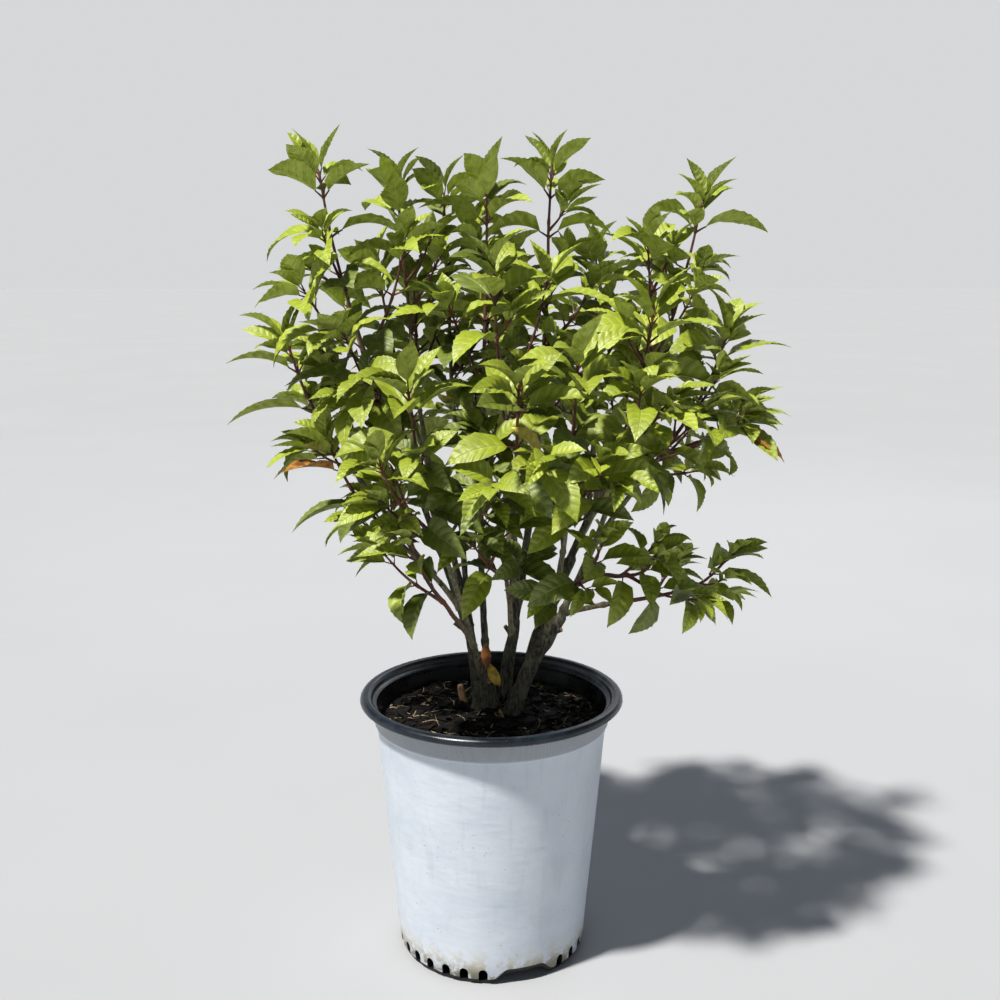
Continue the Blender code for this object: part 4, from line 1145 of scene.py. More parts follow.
def make_stubs(limbs, materials):
    """Stubs left by pruning, and two broken ones in the potting mix: short tubes with a pale cut end.
    Radius = taper * (1 + collar e^(-4 share)), a little uneven. Those in the mix are pale all over."""
    feet, tops, widths = zip(*stub_lines(limbs))
    count = len(widths)
    share = np.linspace(0, 1, STUB_RINGS)
    foot, top = (np.array([tuple(point) for point in points])[:, None] for points in (feet, tops))
    paths = foot * (1 - share[:, None]) + top * share[:, None]
    taper = np.array(widths)[:, None] * (1.08 - 0.3 * share)
    radii = taper * (1 + 0.35 * np.exp(-4 * share))
    column = np.arange(STUB_SIDES) / STUB_SIDES * 6
    level = (share * 4)[:, None] + np.arange(count)[:, None, None] * 9
    relief = lattice_noise(column, level, 61, 6)
    made = tubes("pruned_stubs", paths, radii[:, :, None] * (1 + 0.10 * relief), STUB_SIDES)
    set_attribute(made, "age", np.full(len(made.data.vertices), 0.8))
    pale = [1] * len(SOIL_STUBS) + [0] * len(PRUNED)
    walls = np.repeat(pale, (STUB_RINGS - 1) * STUB_SIDES)
    which = np.concatenate([walls, np.zeros(count * STUB_SIDES), np.ones(count * STUB_SIDES)])
    dress(made, [materials["stem"], materials["cut"]], (), which)


def loose_leaf(root, out, face, length, droop):
    """A leaf that the growth rule doesn't place. Root and length in mm."""
    out, face = Vector(out).normalized(), Vector(face).normalized()
    return Leaf(Vector(root) * MM, out, face, length * MM, droop, 0)


def make_litter(materials):
    """Two dead leaves caught on the old stump, and a seedling that came up in the potting mix."""
    dead = leaf_arrays([loose_leaf(*row) for row in DEAD_LEAVES], SEED)
    dead["fold"][:] = 0.9
    dead["curl"][:] = 0.6
    make_blades("dead_leaves", dead, [0, 1], [materials["dead"], materials["dead_yellow"]], ())
    level = float(soil_height(*(np.array(SEEDLING) * MM))) / MM
    rows = []
    for k in range(SEEDLING_LEAVES):
        turn = k * 2.4
        out = (math.cos(turn), math.sin(turn), 0.5)
        rows.append(loose_leaf((*SEEDLING, level + 5 + 0.8 * k), out, (0, 0, 1), 11 - k, 0.9))
    seedling = leaf_arrays(rows, SEED + 5)
    make_blades("seedling_leaves", seedling, [0] * len(rows), [materials["seedling"]], ())
    stalk = np.array([[(*SEEDLING, level + rise) for rise in (-1, 4, 10)]]) * MM
    made = tubes("seedling_stalk", stalk, np.full((1, 3), 0.5 * MM), 5)
    dress(made, [materials["seedling"]])


def stem_path(limb):
    """A whole stem, bough and leading shoot, as one list of well spaced points."""
    return limb.path + limb.leafy[2:]


def make_stems(limbs, materials):
    """Every bough with its leading shoot. Radius = taper * (1 + 0.45 e^(-d / 7 mm)) * (1 + relief +
    swellings), where d is the distance from its fork. The taper runs evenly to the first leaves, and evenly
    on to the tip."""
    paths = wandered(np.stack([smoothed(stem_path(limbs[name]), STEM_RINGS) for name in STEMS]), 1.3 * MM, 21)
    from_tip = distances_from_tip(paths)
    total = from_tip[:, :1]
    share = 1 - from_tip / total
    bare = np.array([stem.bare for stem in STEMS.values()])[:, None]
    fork = np.array([stem.radius for stem in STEMS.values()])[:, None] * MM
    first_leaves, tip = TWIG_RADIUS - 0.3 * MM, 1.1 * MM
    bough = fork + (first_leaves - fork) * np.minimum(share / bare, 1)
    shoot = first_leaves + (tip - first_leaves) * np.clip((share - bare) / (1 - bare), 0, 1)
    from_fork = share * total
    radii = np.where(share < bare, bough, shoot) * (1 + 0.45 * np.exp(-from_fork / (7 * MM)))
    turn = 2 * np.pi * np.arange(STEM_SIDES) / STEM_SIDES
    relief = lattice_noise(turn / (2 * np.pi) * 5, (from_fork / (9 * MM))[:, :, None], 31, 5)
    age = np.clip((from_tip - 60 * MM) / (420 * MM), 0, 1)
    uneven = 0.08 * relief * (0.4 + age[:, :, None]) + 0.38 * node_swelling(from_tip, turn)
    radii = radii[:, :, None] * (1 + uneven)
    radii[:, -1] *= 0.5
    made = tubes("stems", paths, radii, STEM_SIDES)
    set_attribute(made, "age", ring_values(age, STEM_SIDES))
    dress(made, [materials["stem"]], STEMS)


def make_shoots(twigs, spurs, materials):
    """Side shoots and spurs, which thin from 2 mm or less to under 1 mm and swell at their feet and nodes.
    Radius = (taper + 0.4 foot e^(-d / 4 mm)) * (1 + swellings)."""
    shoots = [shoot for name in twigs for shoot in twigs[name][1:] + spurs[name]]
    paths = np.stack([smoothed(path, SHOOT_RINGS) for path in shoots])
    from_tip = distances_from_tip(paths)
    total = from_tip[:, :1]
    share = 1 - from_tip / total
    foot = np.clip(1.0 * MM + total * 0.012, 1.2 * MM, 2.0 * MM)
    radii = foot + (0.85 * MM - foot) * share + 0.4 * foot * np.exp(-share * total / (4 * MM))
    turn = 2 * np.pi * np.arange(SHOOT_SIDES) / SHOOT_SIDES
    radii = radii[:, :, None] * (1 + 0.4 * node_swelling(from_tip, turn))
    radii[:, -1] *= 0.5
    made = tubes("side_shoots", paths, radii, SHOOT_SIDES)
    set_attribute(made, "age", ring_values(np.clip((from_tip - 30 * MM) / (480 * MM), 0, 1), SHOOT_SIDES))
    dress(made, [materials["stem"]], [f"{name}_foliage" for name in twigs])


def blade_half_width(v):
    """Half width of a blade as a share of its widest: (v/p)^a ((1-v)/(1-p))^b, widest at p = a / (a + b)."""
    a, b = BLADE_POWERS
    widest = a / (a + b)
    return (np.maximum(v, 1e-6) / widest) ** a * (np.maximum(1 - v, 0) / (1 - widest)) ** b


def midribs(leaf, shares):
    """Points, directions and upper normals along every leaf at an array of shares of its length. The midrib
    swings down by droop * share^1.25, and its points are the running sum of cos and sin of that swing."""
    fine = np.linspace(0, 1, MIDRIB_STEPS)
    swing = leaf["droop"][:, None] * fine**1.25
    step = leaf["length"][:, None] / (MIDRIB_STEPS - 1)
    pick = np.round(shares * (MIDRIB_STEPS - 1)).astype(int)
    at_root = np.zeros((len(swing), 1))
    onward, down = (
        np.concatenate([at_root, np.cumsum(part, axis=1) * step], axis=1)[:, pick, None]
        for part in (np.cos(swing[:, :-1]), np.sin(swing[:, :-1]))
    )
    spread = (slice(None),) + (None,) * shares.ndim
    root, out, face = leaf["root"][spread], leaf["out"][spread], leaf["face"][spread]
    points = root + out * onward - face * down
    turn = swing[:, pick, None]
    return points, out * np.cos(turn) - face * np.sin(turn), face * np.cos(turn) + out * np.sin(turn)


def leaf_arrays(leaves, seed):
    """The planned leaves as arrays, each turned about its midrib to face partly outwards from the crown's
    middle, with its own fold, twist, curl, wave and girth. Low ones are a little shorter and more folded."""
    rng = np.random.default_rng(seed)
    count = len(leaves)
    *vectors, length, droop, _ = zip(*leaves)
    root, out, face = (np.array([tuple(vector) for vector in column]) for column in vectors)
    outwards = unit(root * [1, 1, 0] - np.array(CROWN_MIDDLE))
    face = face + outwards * OUTWARD_LEAN
    face = unit(face - out * (face * out).sum(axis=1, keepdims=True))
    low = np.clip((0.60 - root[:, 2]) / 0.15, 0, 1)
    return {
        "root": root,
        "out": out,
        "face": face,
        "length": np.array(length) * (1 - 0.14 * low),
        "droop": np.array(droop) * rng.uniform(1.1, 1.9, count),
        "fold": rng.uniform(0.42, 0.92, count) + 0.12 * low,
        "twist": rng.normal(0, 0.35, count),
        "curl": rng.uniform(0.05, 0.30, count),
        "wave": rng.uniform(0.3, 1.2, count),
        "phase": rng.uniform(0, 2 * np.pi, count),
        "girth": rng.uniform(0.9, 1.12, count),
    }


def blade_points(leaf):
    """The grid of every blade at once. Its rows run along the side veins, v = row + sweep * |t|^1.2 *
    (1 - row), and its points are midrib + across * x + normal * h. x = t * half width * cos(fold), a little
    more between two veins, and h = |x| * tan(fold) - curl * t^2 + a quilt that is high between veins + a slow
    wave at the edge."""
    t = BLADE_COLUMNS
    size = np.abs(t)
    row = np.linspace(0, 1, BLADE_ROWS)[:, None]
    v = row + VEIN_SWEEP * size**1.2 * (1 - row) * np.minimum(row * 4, 1)
    points, ahead, normal = midribs(leaf, STALK_SHARE + (1 - STALK_SHARE) * v)
    across = np.cross(ahead, normal)
    twist = leaf["twist"][:, None, None, None] * v[..., None]
    c, s = np.cos(twist), np.sin(twist)
    across, normal = across * c - normal * s, normal * c + across * s
    fold, curl, wave, phase, length, girth = (
        leaf[key][:, None, None] for key in ("fold", "curl", "wave", "phase", "length", "girth")
    )
    widest = BLADE_WIDTH / 2 * length * girth * (1 - STALK_SHARE)
    half = np.maximum(widest * blade_half_width(v), 0.3 * MM)
    crest = (np.arange(BLADE_ROWS) % 2)[:, None]
    fold = fold * (1 - 0.45 * v)
    x = t * half * np.cos(fold) * (1 + 0.045 * crest * (size == 1))
    rise = size * half * np.sin(fold) - curl * half * size**2
    rise = rise + 0.15 * half * crest * np.where(size == 1, 0.5, 1.0) * (size > 0)
    rise = rise + 0.09 * wave * half * np.sin(v * 8 + phase) * size**2 * np.sign(t)
    return points + across * x[..., None] + normal * rise[..., None]


def make_blades(name, leaf, tints, materials, nodes):
    """One piece of leaf blades, each with its tint as a plain material of its own."""
    points = blade_points(leaf)
    count, rows, columns = points.shape[:3]
    faces = grid_faces(rows, columns, False)
    made = surface(name, points, copies(faces, count, rows * columns))
    u, v = np.meshgrid((BLADE_COLUMNS + 1) / 2, np.linspace(0, 1, rows))
    set_uv(made, "blade", np.tile(np.stack([u, v], axis=-1).reshape(-1, 2), (count, 1)))
    dress(made, materials, nodes, np.repeat(tints, len(faces)))


def make_stalks(leaf, materials):
    """Leaf stalks: tubes along the first part of each midrib. Their radius thins from 1.15 mm to 0.7 mm, less
    on a short leaf, and is flared at the foot."""
    paths, _, _ = midribs(leaf, np.linspace(0, STALK_SHARE * 1.12, STALK_RINGS))
    vigour = np.clip(leaf["length"] / (70 * MM), 0.55, 1.1)[:, None]
    radii = np.linspace(1.15, 0.7, STALK_RINGS) * MM * vigour
    radii[:, 0] *= 1.35
    made = tubes("leaf_stalks", paths, radii, STALK_SIDES)
    set_attribute(made, "age", np.zeros(len(made.data.vertices)))
    dress(made, [materials["stem"]])


def leaf_tint(leaf, draw, spray):
    """The tint of a leaf, by the luck of its own draw and of its spray's, and by its place: high leaves get
    paler tints more often, as painted light, and low and inner ones deeper tints, as painted shade. height is
    0 at the skirt and 1 near the top, and middle is 0 on the plant's axis and 1 near the crown's side."""
    height = (leaf.root.z - SKIRT_HEIGHT) / CROWN_DEPTH
    middle = math.hypot(leaf.root.x, 0.6 * leaf.root.y) / (0.10 + 0.15 * min(max(height, 0), 1))
    # Young leaves at the outer tips are fresh; high up they get the paler tints more often, partly as painted
    # light
    if leaf.rank <= 0 and middle > 0.5:
        if height > 0.55:
            return FRESH if draw < 0.7 else BRIGHT
        return GREEN if draw < 0.65 else FRESH
    if draw < 0.008 and height < 0.55:
        return DEAD
    if draw < 0.03 and height < 0.5:
        return TURNING
    # Low and inner leaves get the deep tint more often, as painted shade inside the crown
    if middle < 0.75 and draw < 0.85 - 0.8 * height:
        return DEEP
    # High leaves get the bright and fresh tints more often, as painted light
    if draw + 0.25 * spray < 0.12 + 0.55 * height:
        return BRIGHT
    if draw < 0.82 + 0.14 * height:
        return FRESH if height > 0.6 else GREEN
    return DEEP


def spray_tints(leaves):
    """Deals out the tints: the youngest leaves are fresh, more of the high ones bright as painted light, more
    of the low and inner ones deep as painted shade, and a few low ones have turned or died."""
    tints = {}
    for number, (name, grown) in enumerate(leaves.items()):
        rng = random.Random(7 * SEED + number)
        spray = rng.random()
        tints[name] = [leaf_tint(leaf, rng.random(), spray) for leaf in grown]
    return tints


def make_crown(leaves, materials):
    """All leaf stalks in one piece, and the blades in one piece for each side of the crown."""
    arrays = leaf_arrays([leaf for grown in leaves.values() for leaf in grown], SEED)
    make_stalks(arrays, materials)
    tints = spray_tints(leaves)
    ends = np.cumsum([len(grown) for grown in leaves.values()])
    index = dict(zip(leaves, np.split(np.arange(ends[-1]), ends[:-1])))
    for side, names in CROWN_SIDES.items():
        pick = np.concatenate([index[name] for name in names])
        part = {key: values[pick] for key, values in arrays.items()}
        dealt = np.concatenate([tints[name] for name in names])
        nodes = [f"{name}_foliage" for name in names]
        make_blades(f"leaves_{side}", part, dealt, materials["leaves"], nodes)


def make_plant(materials):
    """Everything that grows."""
    limbs = limb_plan()
    keepout = Keepout()
    twigs = twig_plan(limbs, keepout)
    spurs = spur_plan(limbs, twigs, keepout)
    leaves = leaf_plan(twigs, spurs, keepout)
    make_trunks(limbs, materials)
    make_stubs(limbs, materials)
    make_litter(materials)
    make_stems(limbs, materials)
    make_shoots(twigs, spurs, materials)
    make_crown(leaves, materials)


# Pot

def drain_lift(grid):
    """How far the foot is raised at each point: the full lift over a drain, ramped smoothly at both its ends,
    nil on the middle of the underside, and fading out up the wall."""
    radius = np.hypot(grid[..., 0], grid[..., 1])
    pitch = 2 * np.pi / DRAINS
    off = np.abs((np.arctan2(grid[..., 1], grid[..., 0]) - FIRST_DRAIN + pitch / 2) % pitch - pitch / 2)
    share = smooth_step((DRAIN_HALF_WIDTH + DRAIN_RAMP - off) / DRAIN_RAMP)
    inward = np.clip((radius - DRAIN_INNER_RADIUS + DRAIN_STEP) / DRAIN_STEP, 0, 1)
    height = np.clip((40 * MM - grid[..., 2]) / (32 * MM), 0, 1)
    return DRAIN_LIFT * share * inward * height


def pot_grid(grid):
    """Raises the drains, and dents the wall by up to 0.5 mm, as thin moulded walls are. A raised point moves
    out with the wall's taper, so that the wall keeps its line."""
    x, y, z = np.moveaxis(grid, 2, 0)
    lift = drain_lift(grid)
    radius = np.hypot(x, y)
    slope = (BODY_TOP_RADIUS - BODY_FOOT_RADIUS) / (COLLAR_FOOT - FOOT_CORNER)
    turn = np.arctan2(y, x) / (2 * np.pi)
    wall = np.clip((radius - 90 * MM) / (8 * MM), 0, 1) * np.clip((COLLAR_FOOT - z) / (20 * MM), 0, 1)
    dent = lattice_noise((turn * 9) % 9, z / (60 * MM) + 4, 41, 9) * 0.5 * MM * wall
    factor = 1 + (slope * lift + dent) / np.maximum(radius, 1e-6)
    return np.stack([x * factor, y * factor, z + lift], axis=2)


def wall_radius(z):
    """Outer radius of the tapering body wall at a height."""
    share = (z - FOOT_CORNER) / (COLLAR_FOOT - FOOT_CORNER)
    return BODY_FOOT_RADIUS + (BODY_TOP_RADIUS - BODY_FOOT_RADIUS) * share


def pot_profile():
    """Half section: out along the underside, up the outside, over the rolled rim and down the inside. The
    wall is set back where the film covers it."""
    lip = RIM_RADIUS - RIM_WIDTH
    under = POT_HEIGHT - RIM_THICKNESS - 2 * MM
    covered = 0.8 * MM
    corners = [
        (0, 0, 0),
        (DRAIN_INNER_RADIUS - DRAIN_STEP, 0, 0),
        (BODY_FOOT_RADIUS - 2.5 * MM, 0, 2 * MM),
        (BODY_FOOT_RADIUS, FOOT_CORNER, 2 * MM),
        (BODY_FOOT_RADIUS + 0.6 * MM, FOOT_CORNER + 4 * MM, 1 * MM),
        (BODY_TOP_RADIUS - covered, COLLAR_FOOT - 1.5 * MM, 1 * MM),
        (COLLAR_RADIUS - 0.6 * MM - covered, COLLAR_FOOT + 1.5 * MM, 1.2 * MM),
        (COLLAR_RADIUS - covered, under + 0.4 * MM, 0.3 * MM),
        (RIM_RADIUS - 2.4 * MM, under, 1 * MM),
        (RIM_RADIUS, under + 2.2 * MM, 1.2 * MM),
        (RIM_RADIUS - 0.6 * MM, POT_HEIGHT - 2.4 * MM, 1.8 * MM),
        (RIM_RADIUS - 3.4 * MM, POT_HEIGHT - 0.2 * MM, 1.4 * MM),
        (lip + 3 * MM, POT_HEIGHT, 1.5 * MM),
        (lip, POT_HEIGHT - 2.5 * MM, 1.2 * MM),
        (lip - 1.2 * MM, POT_HEIGHT - 7 * MM, 1 * MM),
        (COLLAR_RADIUS - WALL + 0.3 * MM, POT_HEIGHT - 9 * MM, 1 * MM),
        (COLLAR_RADIUS - WALL, POT_HEIGHT - 13 * MM, 1 * MM),
        (BODY_TOP_RADIUS - WALL, COLLAR_FOOT, 1 * MM),
        (wall_radius(FOOT_CORNER + 4 * MM) - WALL, FOOT_CORNER + 4 * MM, 2 * MM),
        (BODY_FOOT_RADIUS - WALL - 5 * MM, FLOOR, 1 * MM),
        (DRAIN_INNER_RADIUS - DRAIN_STEP, FLOOR, 0),
        (0, FLOOR, 0),
    ]
    return filled(eased(corners), 7 * MM)


def sleeve_profile():
    """Closed half section of the film, from under the lip to the foot, clear of the pot's wall."""
    line = [
        (COLLAR_RADIUS, POT_HEIGHT - RIM_THICKNESS - 2.6 * MM, 0),
        (COLLAR_RADIUS - 0.6 * MM, COLLAR_FOOT + 1.5 * MM, 1.2 * MM),
        (BODY_TOP_RADIUS, COLLAR_FOOT - 1.5 * MM, 1 * MM),
        (BODY_FOOT_RADIUS + 0.3 * MM, FOOT_CORNER + 1.5 * MM, 0),
    ]
    outer = [(r + GAP + SLEEVE_THICKNESS, z, ease) for r, z, ease in line]
    inner = [(r + GAP, z, ease) for r, z, ease in line]
    return np.vstack([filled(eased(half), 5 * MM) for half in (outer[::-1], inner)])


def slot_cutter():
    """All the arched drainage slots as one mesh of prisms. The outline is a half circle on two straight
    sides, and it is carried outwards along the radius."""
    half, depth = SLOT_WIDTH / 2, 30 * MM
    turn = np.linspace(0, np.pi, 9)
    arch = np.stack([half * np.cos(turn), SLOT_SILL + SLOT_HEIGHT - half + half * np.sin(turn)], axis=1)
    outline = np.vstack([[half, SLOT_SILL], arch, [-half, SLOT_SILL]])
    stretch = FIRST_DRAIN + (np.arange(DRAINS) + 0.5) * 2 * np.pi / DRAINS
    steps = (np.arange(SLOTS_PER_STRETCH) - (SLOTS_PER_STRETCH - 1) / 2) * SLOT_PITCH
    angle = (stretch[:, None] + steps).ravel()
    out = np.stack([np.cos(angle), np.sin(angle), 0 * angle], axis=1)
    side = np.stack([-np.sin(angle), np.cos(angle), 0 * angle], axis=1)
    flat = side[:, None] * outline[None, :, :1] + np.array([0, 0, 1]) * outline[None, :, 1:]
    near = flat + out[:, None] * (BODY_FOOT_RADIUS - depth / 2)
    points = np.concatenate([near, near + out[:, None] * depth], axis=1)
    sides, count = len(outline), len(angle)
    around = np.arange(sides)
    ahead = (around + 1) % sides
    walls = np.stack([around, ahead, ahead + sides, around + sides], axis=1)
    caps = np.stack([around[::-1], around + sides])
    return surface("slot_cutter", points, copies(walls, count, 2 * sides), copies(caps, count, 2 * sides))


def cut_slots(piece, cutter):
    """Takes the slots away from a piece and leaves it a plain mesh."""
    step = piece.modifiers.new("slots", "BOOLEAN")
    step.operation = "DIFFERENCE"
    step.solver = "EXACT"
    step.object = cutter
    bpy.context.view_layer.update()
    made = bpy.data.meshes.new_from_object(piece.evaluated_get(bpy.context.evaluated_depsgraph_get()))
    piece.modifiers.clear()
    piece.data = made
    piece.data.shade_smooth()
    piece.data.set_sharp_from_angle(angle=math.radians(40))


def make_pot(materials):
    """The moulded pot and its film, with the slots cut through both."""
    cutter = slot_cutter()
    pot = turned_surface("nursery_pot", pot_profile(), POT_COLUMNS, pot_grid)
    cut_slots(pot, cutter)
    sleeve = closed_ring("label_sleeve", sleeve_profile(), POT_COLUMNS, pot_grid)
    cut_slots(sleeve, cutter)
    bpy.data.objects.remove(cutter)
    dress(pot, [materials["pot"]], ["pot"])
    dress(sleeve, [materials["film"]], ["pot_sleeve"])


def soil_height(x, y):
    """Height of the potting mix: two noises of 22 mm and 6 mm, a low mound round the stems of the form
    e^(-d^2 / 2 w^2), and a fall at the edge."""
    radius = np.hypot(x, y)
    coarse = lattice_noise(x / (22 * MM) + 60, y / (22 * MM) + 60, 51)
    fine = lattice_noise(x / (6 * MM) + 90, y / (6 * MM) + 90, 53)
    mound = np.exp(-((x - 8 * MM) ** 2 + (y - 18 * MM) ** 2) / (2 * (34 * MM) ** 2))
    edge = np.clip((radius - 100 * MM) / (20 * MM), 0, 1)
    return SOIL_LEVEL + MM * (1.6 * coarse + 0.9 * fine + 3.6 * mound - 2.5 * edge - 3.2)


def soil_top(grid):
    """Lays the level top of the potting mix at its own height, and leaves the rest where it is."""
    x, y, z = np.moveaxis(grid, 2, 0)
    return np.stack([x, y, np.where(z > SOIL_LEVEL - 1e-6, soil_height(x, y), z)], axis=2)


def make_soil(materials):
    """The potting mix as a closed body of revolution whose top is uneven."""
    inner = BODY_TOP_RADIUS - WALL - 0.4 * MM
    ledge = FLOOR + DRAIN_LIFT + 3 * GAP
    top = [(r, SOIL_LEVEL) for r in np.linspace(0, inner + 1 * MM, 90)[::-1]]
    profile = [(0, ledge), (BODY_FOOT_RADIUS - WALL - 6 * MM, ledge), (inner, COLLAR_FOOT - 2 * MM)] + top
    soil = turned_surface("potting_mix_body", profile, SOIL_COLUMNS, soil_top)
    dress(soil, [materials["mix"]], ["potting_mix"])


def random_turns(rng, count, tilt):
    """Rotation matrices that turn freely about +Z and then tip about a level axis (x, y, 0), by an angle of
    spread tilt. Tip = cos * unit matrix + (1 - cos) * axis by axis + sin * cross matrix of the axis."""
    spin = rng.uniform(0, 2 * np.pi, count)
    lean = rng.normal(0, tilt, count)
    way = rng.uniform(0, 2 * np.pi, count)
    nil, one = np.zeros(count), np.ones(count)
    c, s = np.cos(spin), np.sin(spin)
    about_z = np.array([[c, -s, nil], [s, c, nil], [nil, nil, one]])
    x, y = np.cos(way), np.sin(way)
    c, s = np.cos(lean), np.sin(lean)
    k = 1 - c
    tip = np.array([
        [c + x * x * k, x * y * k, y * s],
        [x * y * k, c + y * y * k, -x * s],
        [-y * s, x * s, c],
    ])
    return tip.transpose(2, 0, 1) @ about_z.transpose(2, 0, 1)


def make_chips(materials):
    """Bark chips, scattered evenly by area, radius = R * sqrt(draw): slabs of three six-sided rings, narrower
    above and below, most of them lying flat. Corner = turns (ring corner * (1 + jitter) * size) + place."""
    rng = np.random.default_rng(SEED)
    count, sides = CHIP_COUNT, 6
    turn = 2 * np.pi * np.arange(sides) / sides
    ring = np.stack([np.cos(turn), np.sin(turn)], axis=1)
    rings = ((0.82, 0.5), (1.0, 0.0), (0.8, -0.5))
    slab = np.concatenate([np.c_[ring * width, np.full(sides, level)] for width, level in rings])
    shape = slab * (1 + rng.normal(0, 0.16, (count, len(slab), 3)))
    kinds = rng.choice(len(CHIP_SHARES), count, p=CHIP_SHARES)
    sliver = kinds == SLIVER
    length = rng.lognormal(np.log(4.0), 0.42, count).clip(1.6, 12) * MM * np.where(sliver, 1.3, 1)
    length = np.where(kinds == STONE, length * 0.5, length)
    girth = np.where(sliver, rng.uniform(0.10, 0.22, count), rng.uniform(0.3, 0.75, count))
    height = np.minimum(girth, rng.uniform(0.25, 0.5, count))
    size = np.stack([length, length * girth, length * height], axis=1)
    shape = (shape * size[:, None]) @ random_turns(rng, count, 0.45).transpose(0, 2, 1)
    radius = (LITTER_RADIUS - length) * np.sqrt(rng.uniform(0, 1, count))
    angle = rng.uniform(0, 2 * np.pi, count)
    x, y = radius * np.cos(angle), radius * np.sin(angle)
    place = np.stack([x, y, soil_height(x, y) + size[:, 2] * 0.25], axis=1)
    walls = grid_faces(len(rings), sides, True)[:, ::-1]
    around = np.arange(sides)
    caps = np.stack([around, 2 * sides + around[::-1]])
    faces = [copies(part, count, len(slab)) for part in (walls, caps)]
    made = surface("bark_chips", shape + place[:, None], *faces, smooth=False)
    which = np.concatenate([np.repeat(kinds, len(walls)), np.repeat(kinds, len(caps))])
    dress(made, materials["chips"], (), which)


def make_fibres(materials):
    """Shreds of bark fibre: thin strands that lie on the mix, arched up in the middle. Point = middle +
    length * share * (cos, sin)(heading + bend * share)."""
    rng = np.random.default_rng(SEED + 1)
    count = FIBRE_COUNT
    length = rng.uniform(7, 36, count) * MM
    radius, angle = 112 * MM * np.sqrt(rng.uniform(0, 1, count)), rng.uniform(0, 2 * np.pi, count)
    heading, bend = rng.uniform(0, 2 * np.pi, count), rng.normal(0, 0.22, count)
    share = np.linspace(-0.5, 0.5, FIBRE_RINGS)
    way = heading[:, None] + bend[:, None] * share
    x = (radius * np.cos(angle))[:, None] + length[:, None] * share * np.cos(way)
    y = (radius * np.sin(angle))[:, None] + length[:, None] * share * np.sin(way)
    arch = rng.uniform(0, 2.5, count)[:, None] * MM * (1 - 4 * share**2)
    z = soil_height(x, y) + 1.2 * MM + arch
    keep = np.hypot(x, y).max(axis=1) < LITTER_RADIUS
    paths = np.stack([x, y, z], axis=2)[keep]
    radii = rng.uniform(0.15, 0.5, len(paths))[:, None] * MM * (1 - 1.2 * share**2)
    made = tubes("bark_fibres", paths, radii, 4)
    dress(made, [materials["fibre"]])


# Studio

def make_floor(material):
    """A level square of 40 m, just under the pot."""
    corners = np.array([[-20, -20, 0], [20, -20, 0], [20, 20, 0], [-20, 20, 0]]) - [0, 0, 0.4 * MM]
    floor = surface("studio_floor", corners, np.array([[0, 1, 2, 3]]))
    floor.data.materials.append(material)


def make_lamp(name, kind, place, size, power, colour):
    """A lamp that faces the middle of the plant. size is the angle of a sun, or the side of an area lamp."""
    data = bpy.data.lights.new(name, kind)
    setattr(data, "angle" if kind == "SUN" else "size", size)
    data.energy = power
    data.color = linear(colour)[:3]
    lamp = bpy.data.objects.new(name, data)
    lamp.location = place
    lamp.rotation_euler = (PLANT_MIDDLE - Vector(place)).to_track_quat("-Z", "Y").to_euler()
    bpy.context.scene.collection.objects.link(lamp)


def make_world():
    """Pale low down, where it shows behind the plant, and bluer and dimmer overhead."""
    world = bpy.data.worlds.new("studio")
    world.use_nodes = True
    tree = world.node_tree
    level = add(tree, "SeparateXYZ", {0: add(tree, "TexCoord")["Generated"]})[2]
    strength = add(tree, "MapRange", {0: level, 1: 0.18, 2: 0.45, 3: 0.74, 4: 0.18}, **SMOOTH)[0]
    overhead = add(tree, "MapRange", {0: level, 1: 0.18, 2: 0.45}, **SMOOTH)[0]
    colour = add(tree, "Mix", {0: overhead, 6: "#F4F6F8", 7: "#CFDFF6"}, data_type="RGBA")[2]
    feed(tree.nodes["Background"], {"Color": colour, "Strength": strength})
    bpy.context.scene.world = world


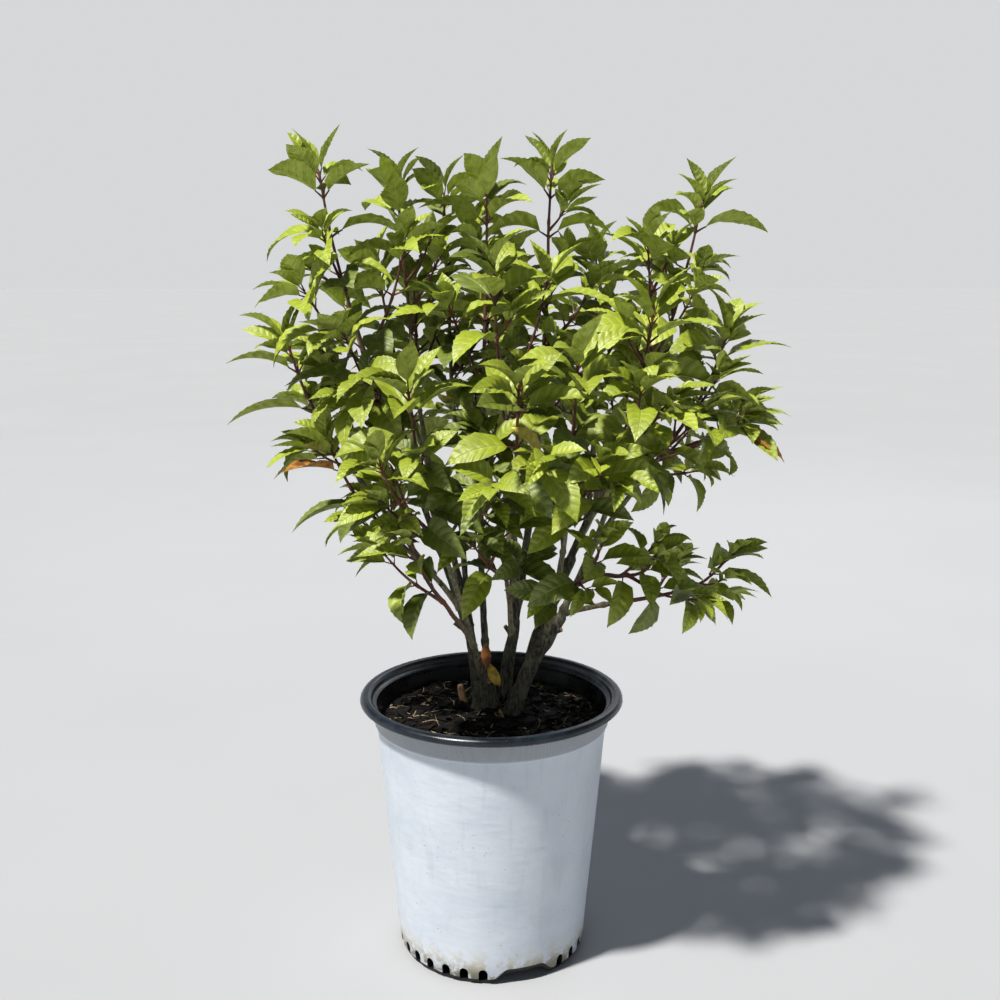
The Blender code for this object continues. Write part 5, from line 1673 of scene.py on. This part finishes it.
def make_camera():
    """The camera at the photograph's place, with its lens."""
    data = bpy.data.cameras.new("camera")
    data.sensor_width = 36
    data.lens = 46.04
    camera = bpy.data.objects.new("camera", data)
    camera.location = (0, -1.300, 0.756)
    camera.rotation_euler = (math.radians(78.56), 0, math.radians(-0.40))
    bpy.context.scene.collection.objects.link(camera)
    bpy.context.scene.camera = camera


def make_studio(materials):
    """A pale floor and sky, a high sun at the left, a soft lamp behind, and the camera."""
    make_floor(materials["floor"])
    make_lamp("key", "SUN", (-2.1, -1.8, 5.4), math.radians(4), 6.0, "#FFFBF5")
    make_lamp("back", "AREA", (0.8, 2.4, 2.2), 1.4, 12, "#F4F8FF")
    make_world()
    make_camera()
    bpy.context.scene.view_settings.view_transform = "Standard"


def make_materials():
    """Every material by its use. The leaves' are in the order of their tints, and the chips' in the order of
    their kinds."""
    return {
        "leaves": [
            # The deep tint goes mostly to low and inner leaves as painted shade, bright and fresh mostly to
            # high ones as painted light
            leaf_material("leaf_fresh", "#94A31D", "#829015", "#BFCA78", "#B0BC54"),
            leaf_material("leaf_green", "#889616", "#768310", "#ABB75A", "#A4B048"),
            leaf_material("leaf_deep", "#647314", "#525F0F", "#879442", "#879538"),
            leaf_material("leaf_bright", "#9AA729", "#89961E", "#C4CD82", "#B2BD5C"),
            leaf_material("leaf_turning", "#C4B84A", "#AA9034", "#DAD28C", "#B9AE62"),
            dead_leaf_material("dead_leaf", "#B07A2E", "#6B3F18"),
        ],
        "dead": dead_leaf_material("dead_leaf_brown", "#9A6127", "#5A3214"),
        "dead_yellow": dead_leaf_material("dead_leaf_yellow", "#B9A23C", "#8A5E22"),
        "seedling": leaf_material("seedling_leaf", "#47702B", "#385D22", "#6C8E4A", "#5E7F44"),
        "stem": stem_material(),
        "cut": cut_wood_material(),
        "pot": pot_material(),
        "film": film_material(),
        "mix": mix_material(),
        "chips": [
            chip_material("dark_bark_chips", "#050403", "#100D0A"),
            chip_material("brown_bark_chips", "#110C08", "#241912"),
            chip_material("red_bark_chips", "#2C170E", "#432416"),
            chip_material("tan_wood_slivers", "#7C6A50", "#A99777"),
            chip_material("pale_stones", "#8F8776", "#BBB39F"),
        ],
        "fibre": chip_material("bark_fibre", "#857559", "#BCAB8C"),
        "floor": floor_material(),
    }


materials = make_materials()
make_studio(materials)
make_pot(materials)
make_soil(materials)
make_chips(materials)
make_fibres(materials)
make_plant(materials)
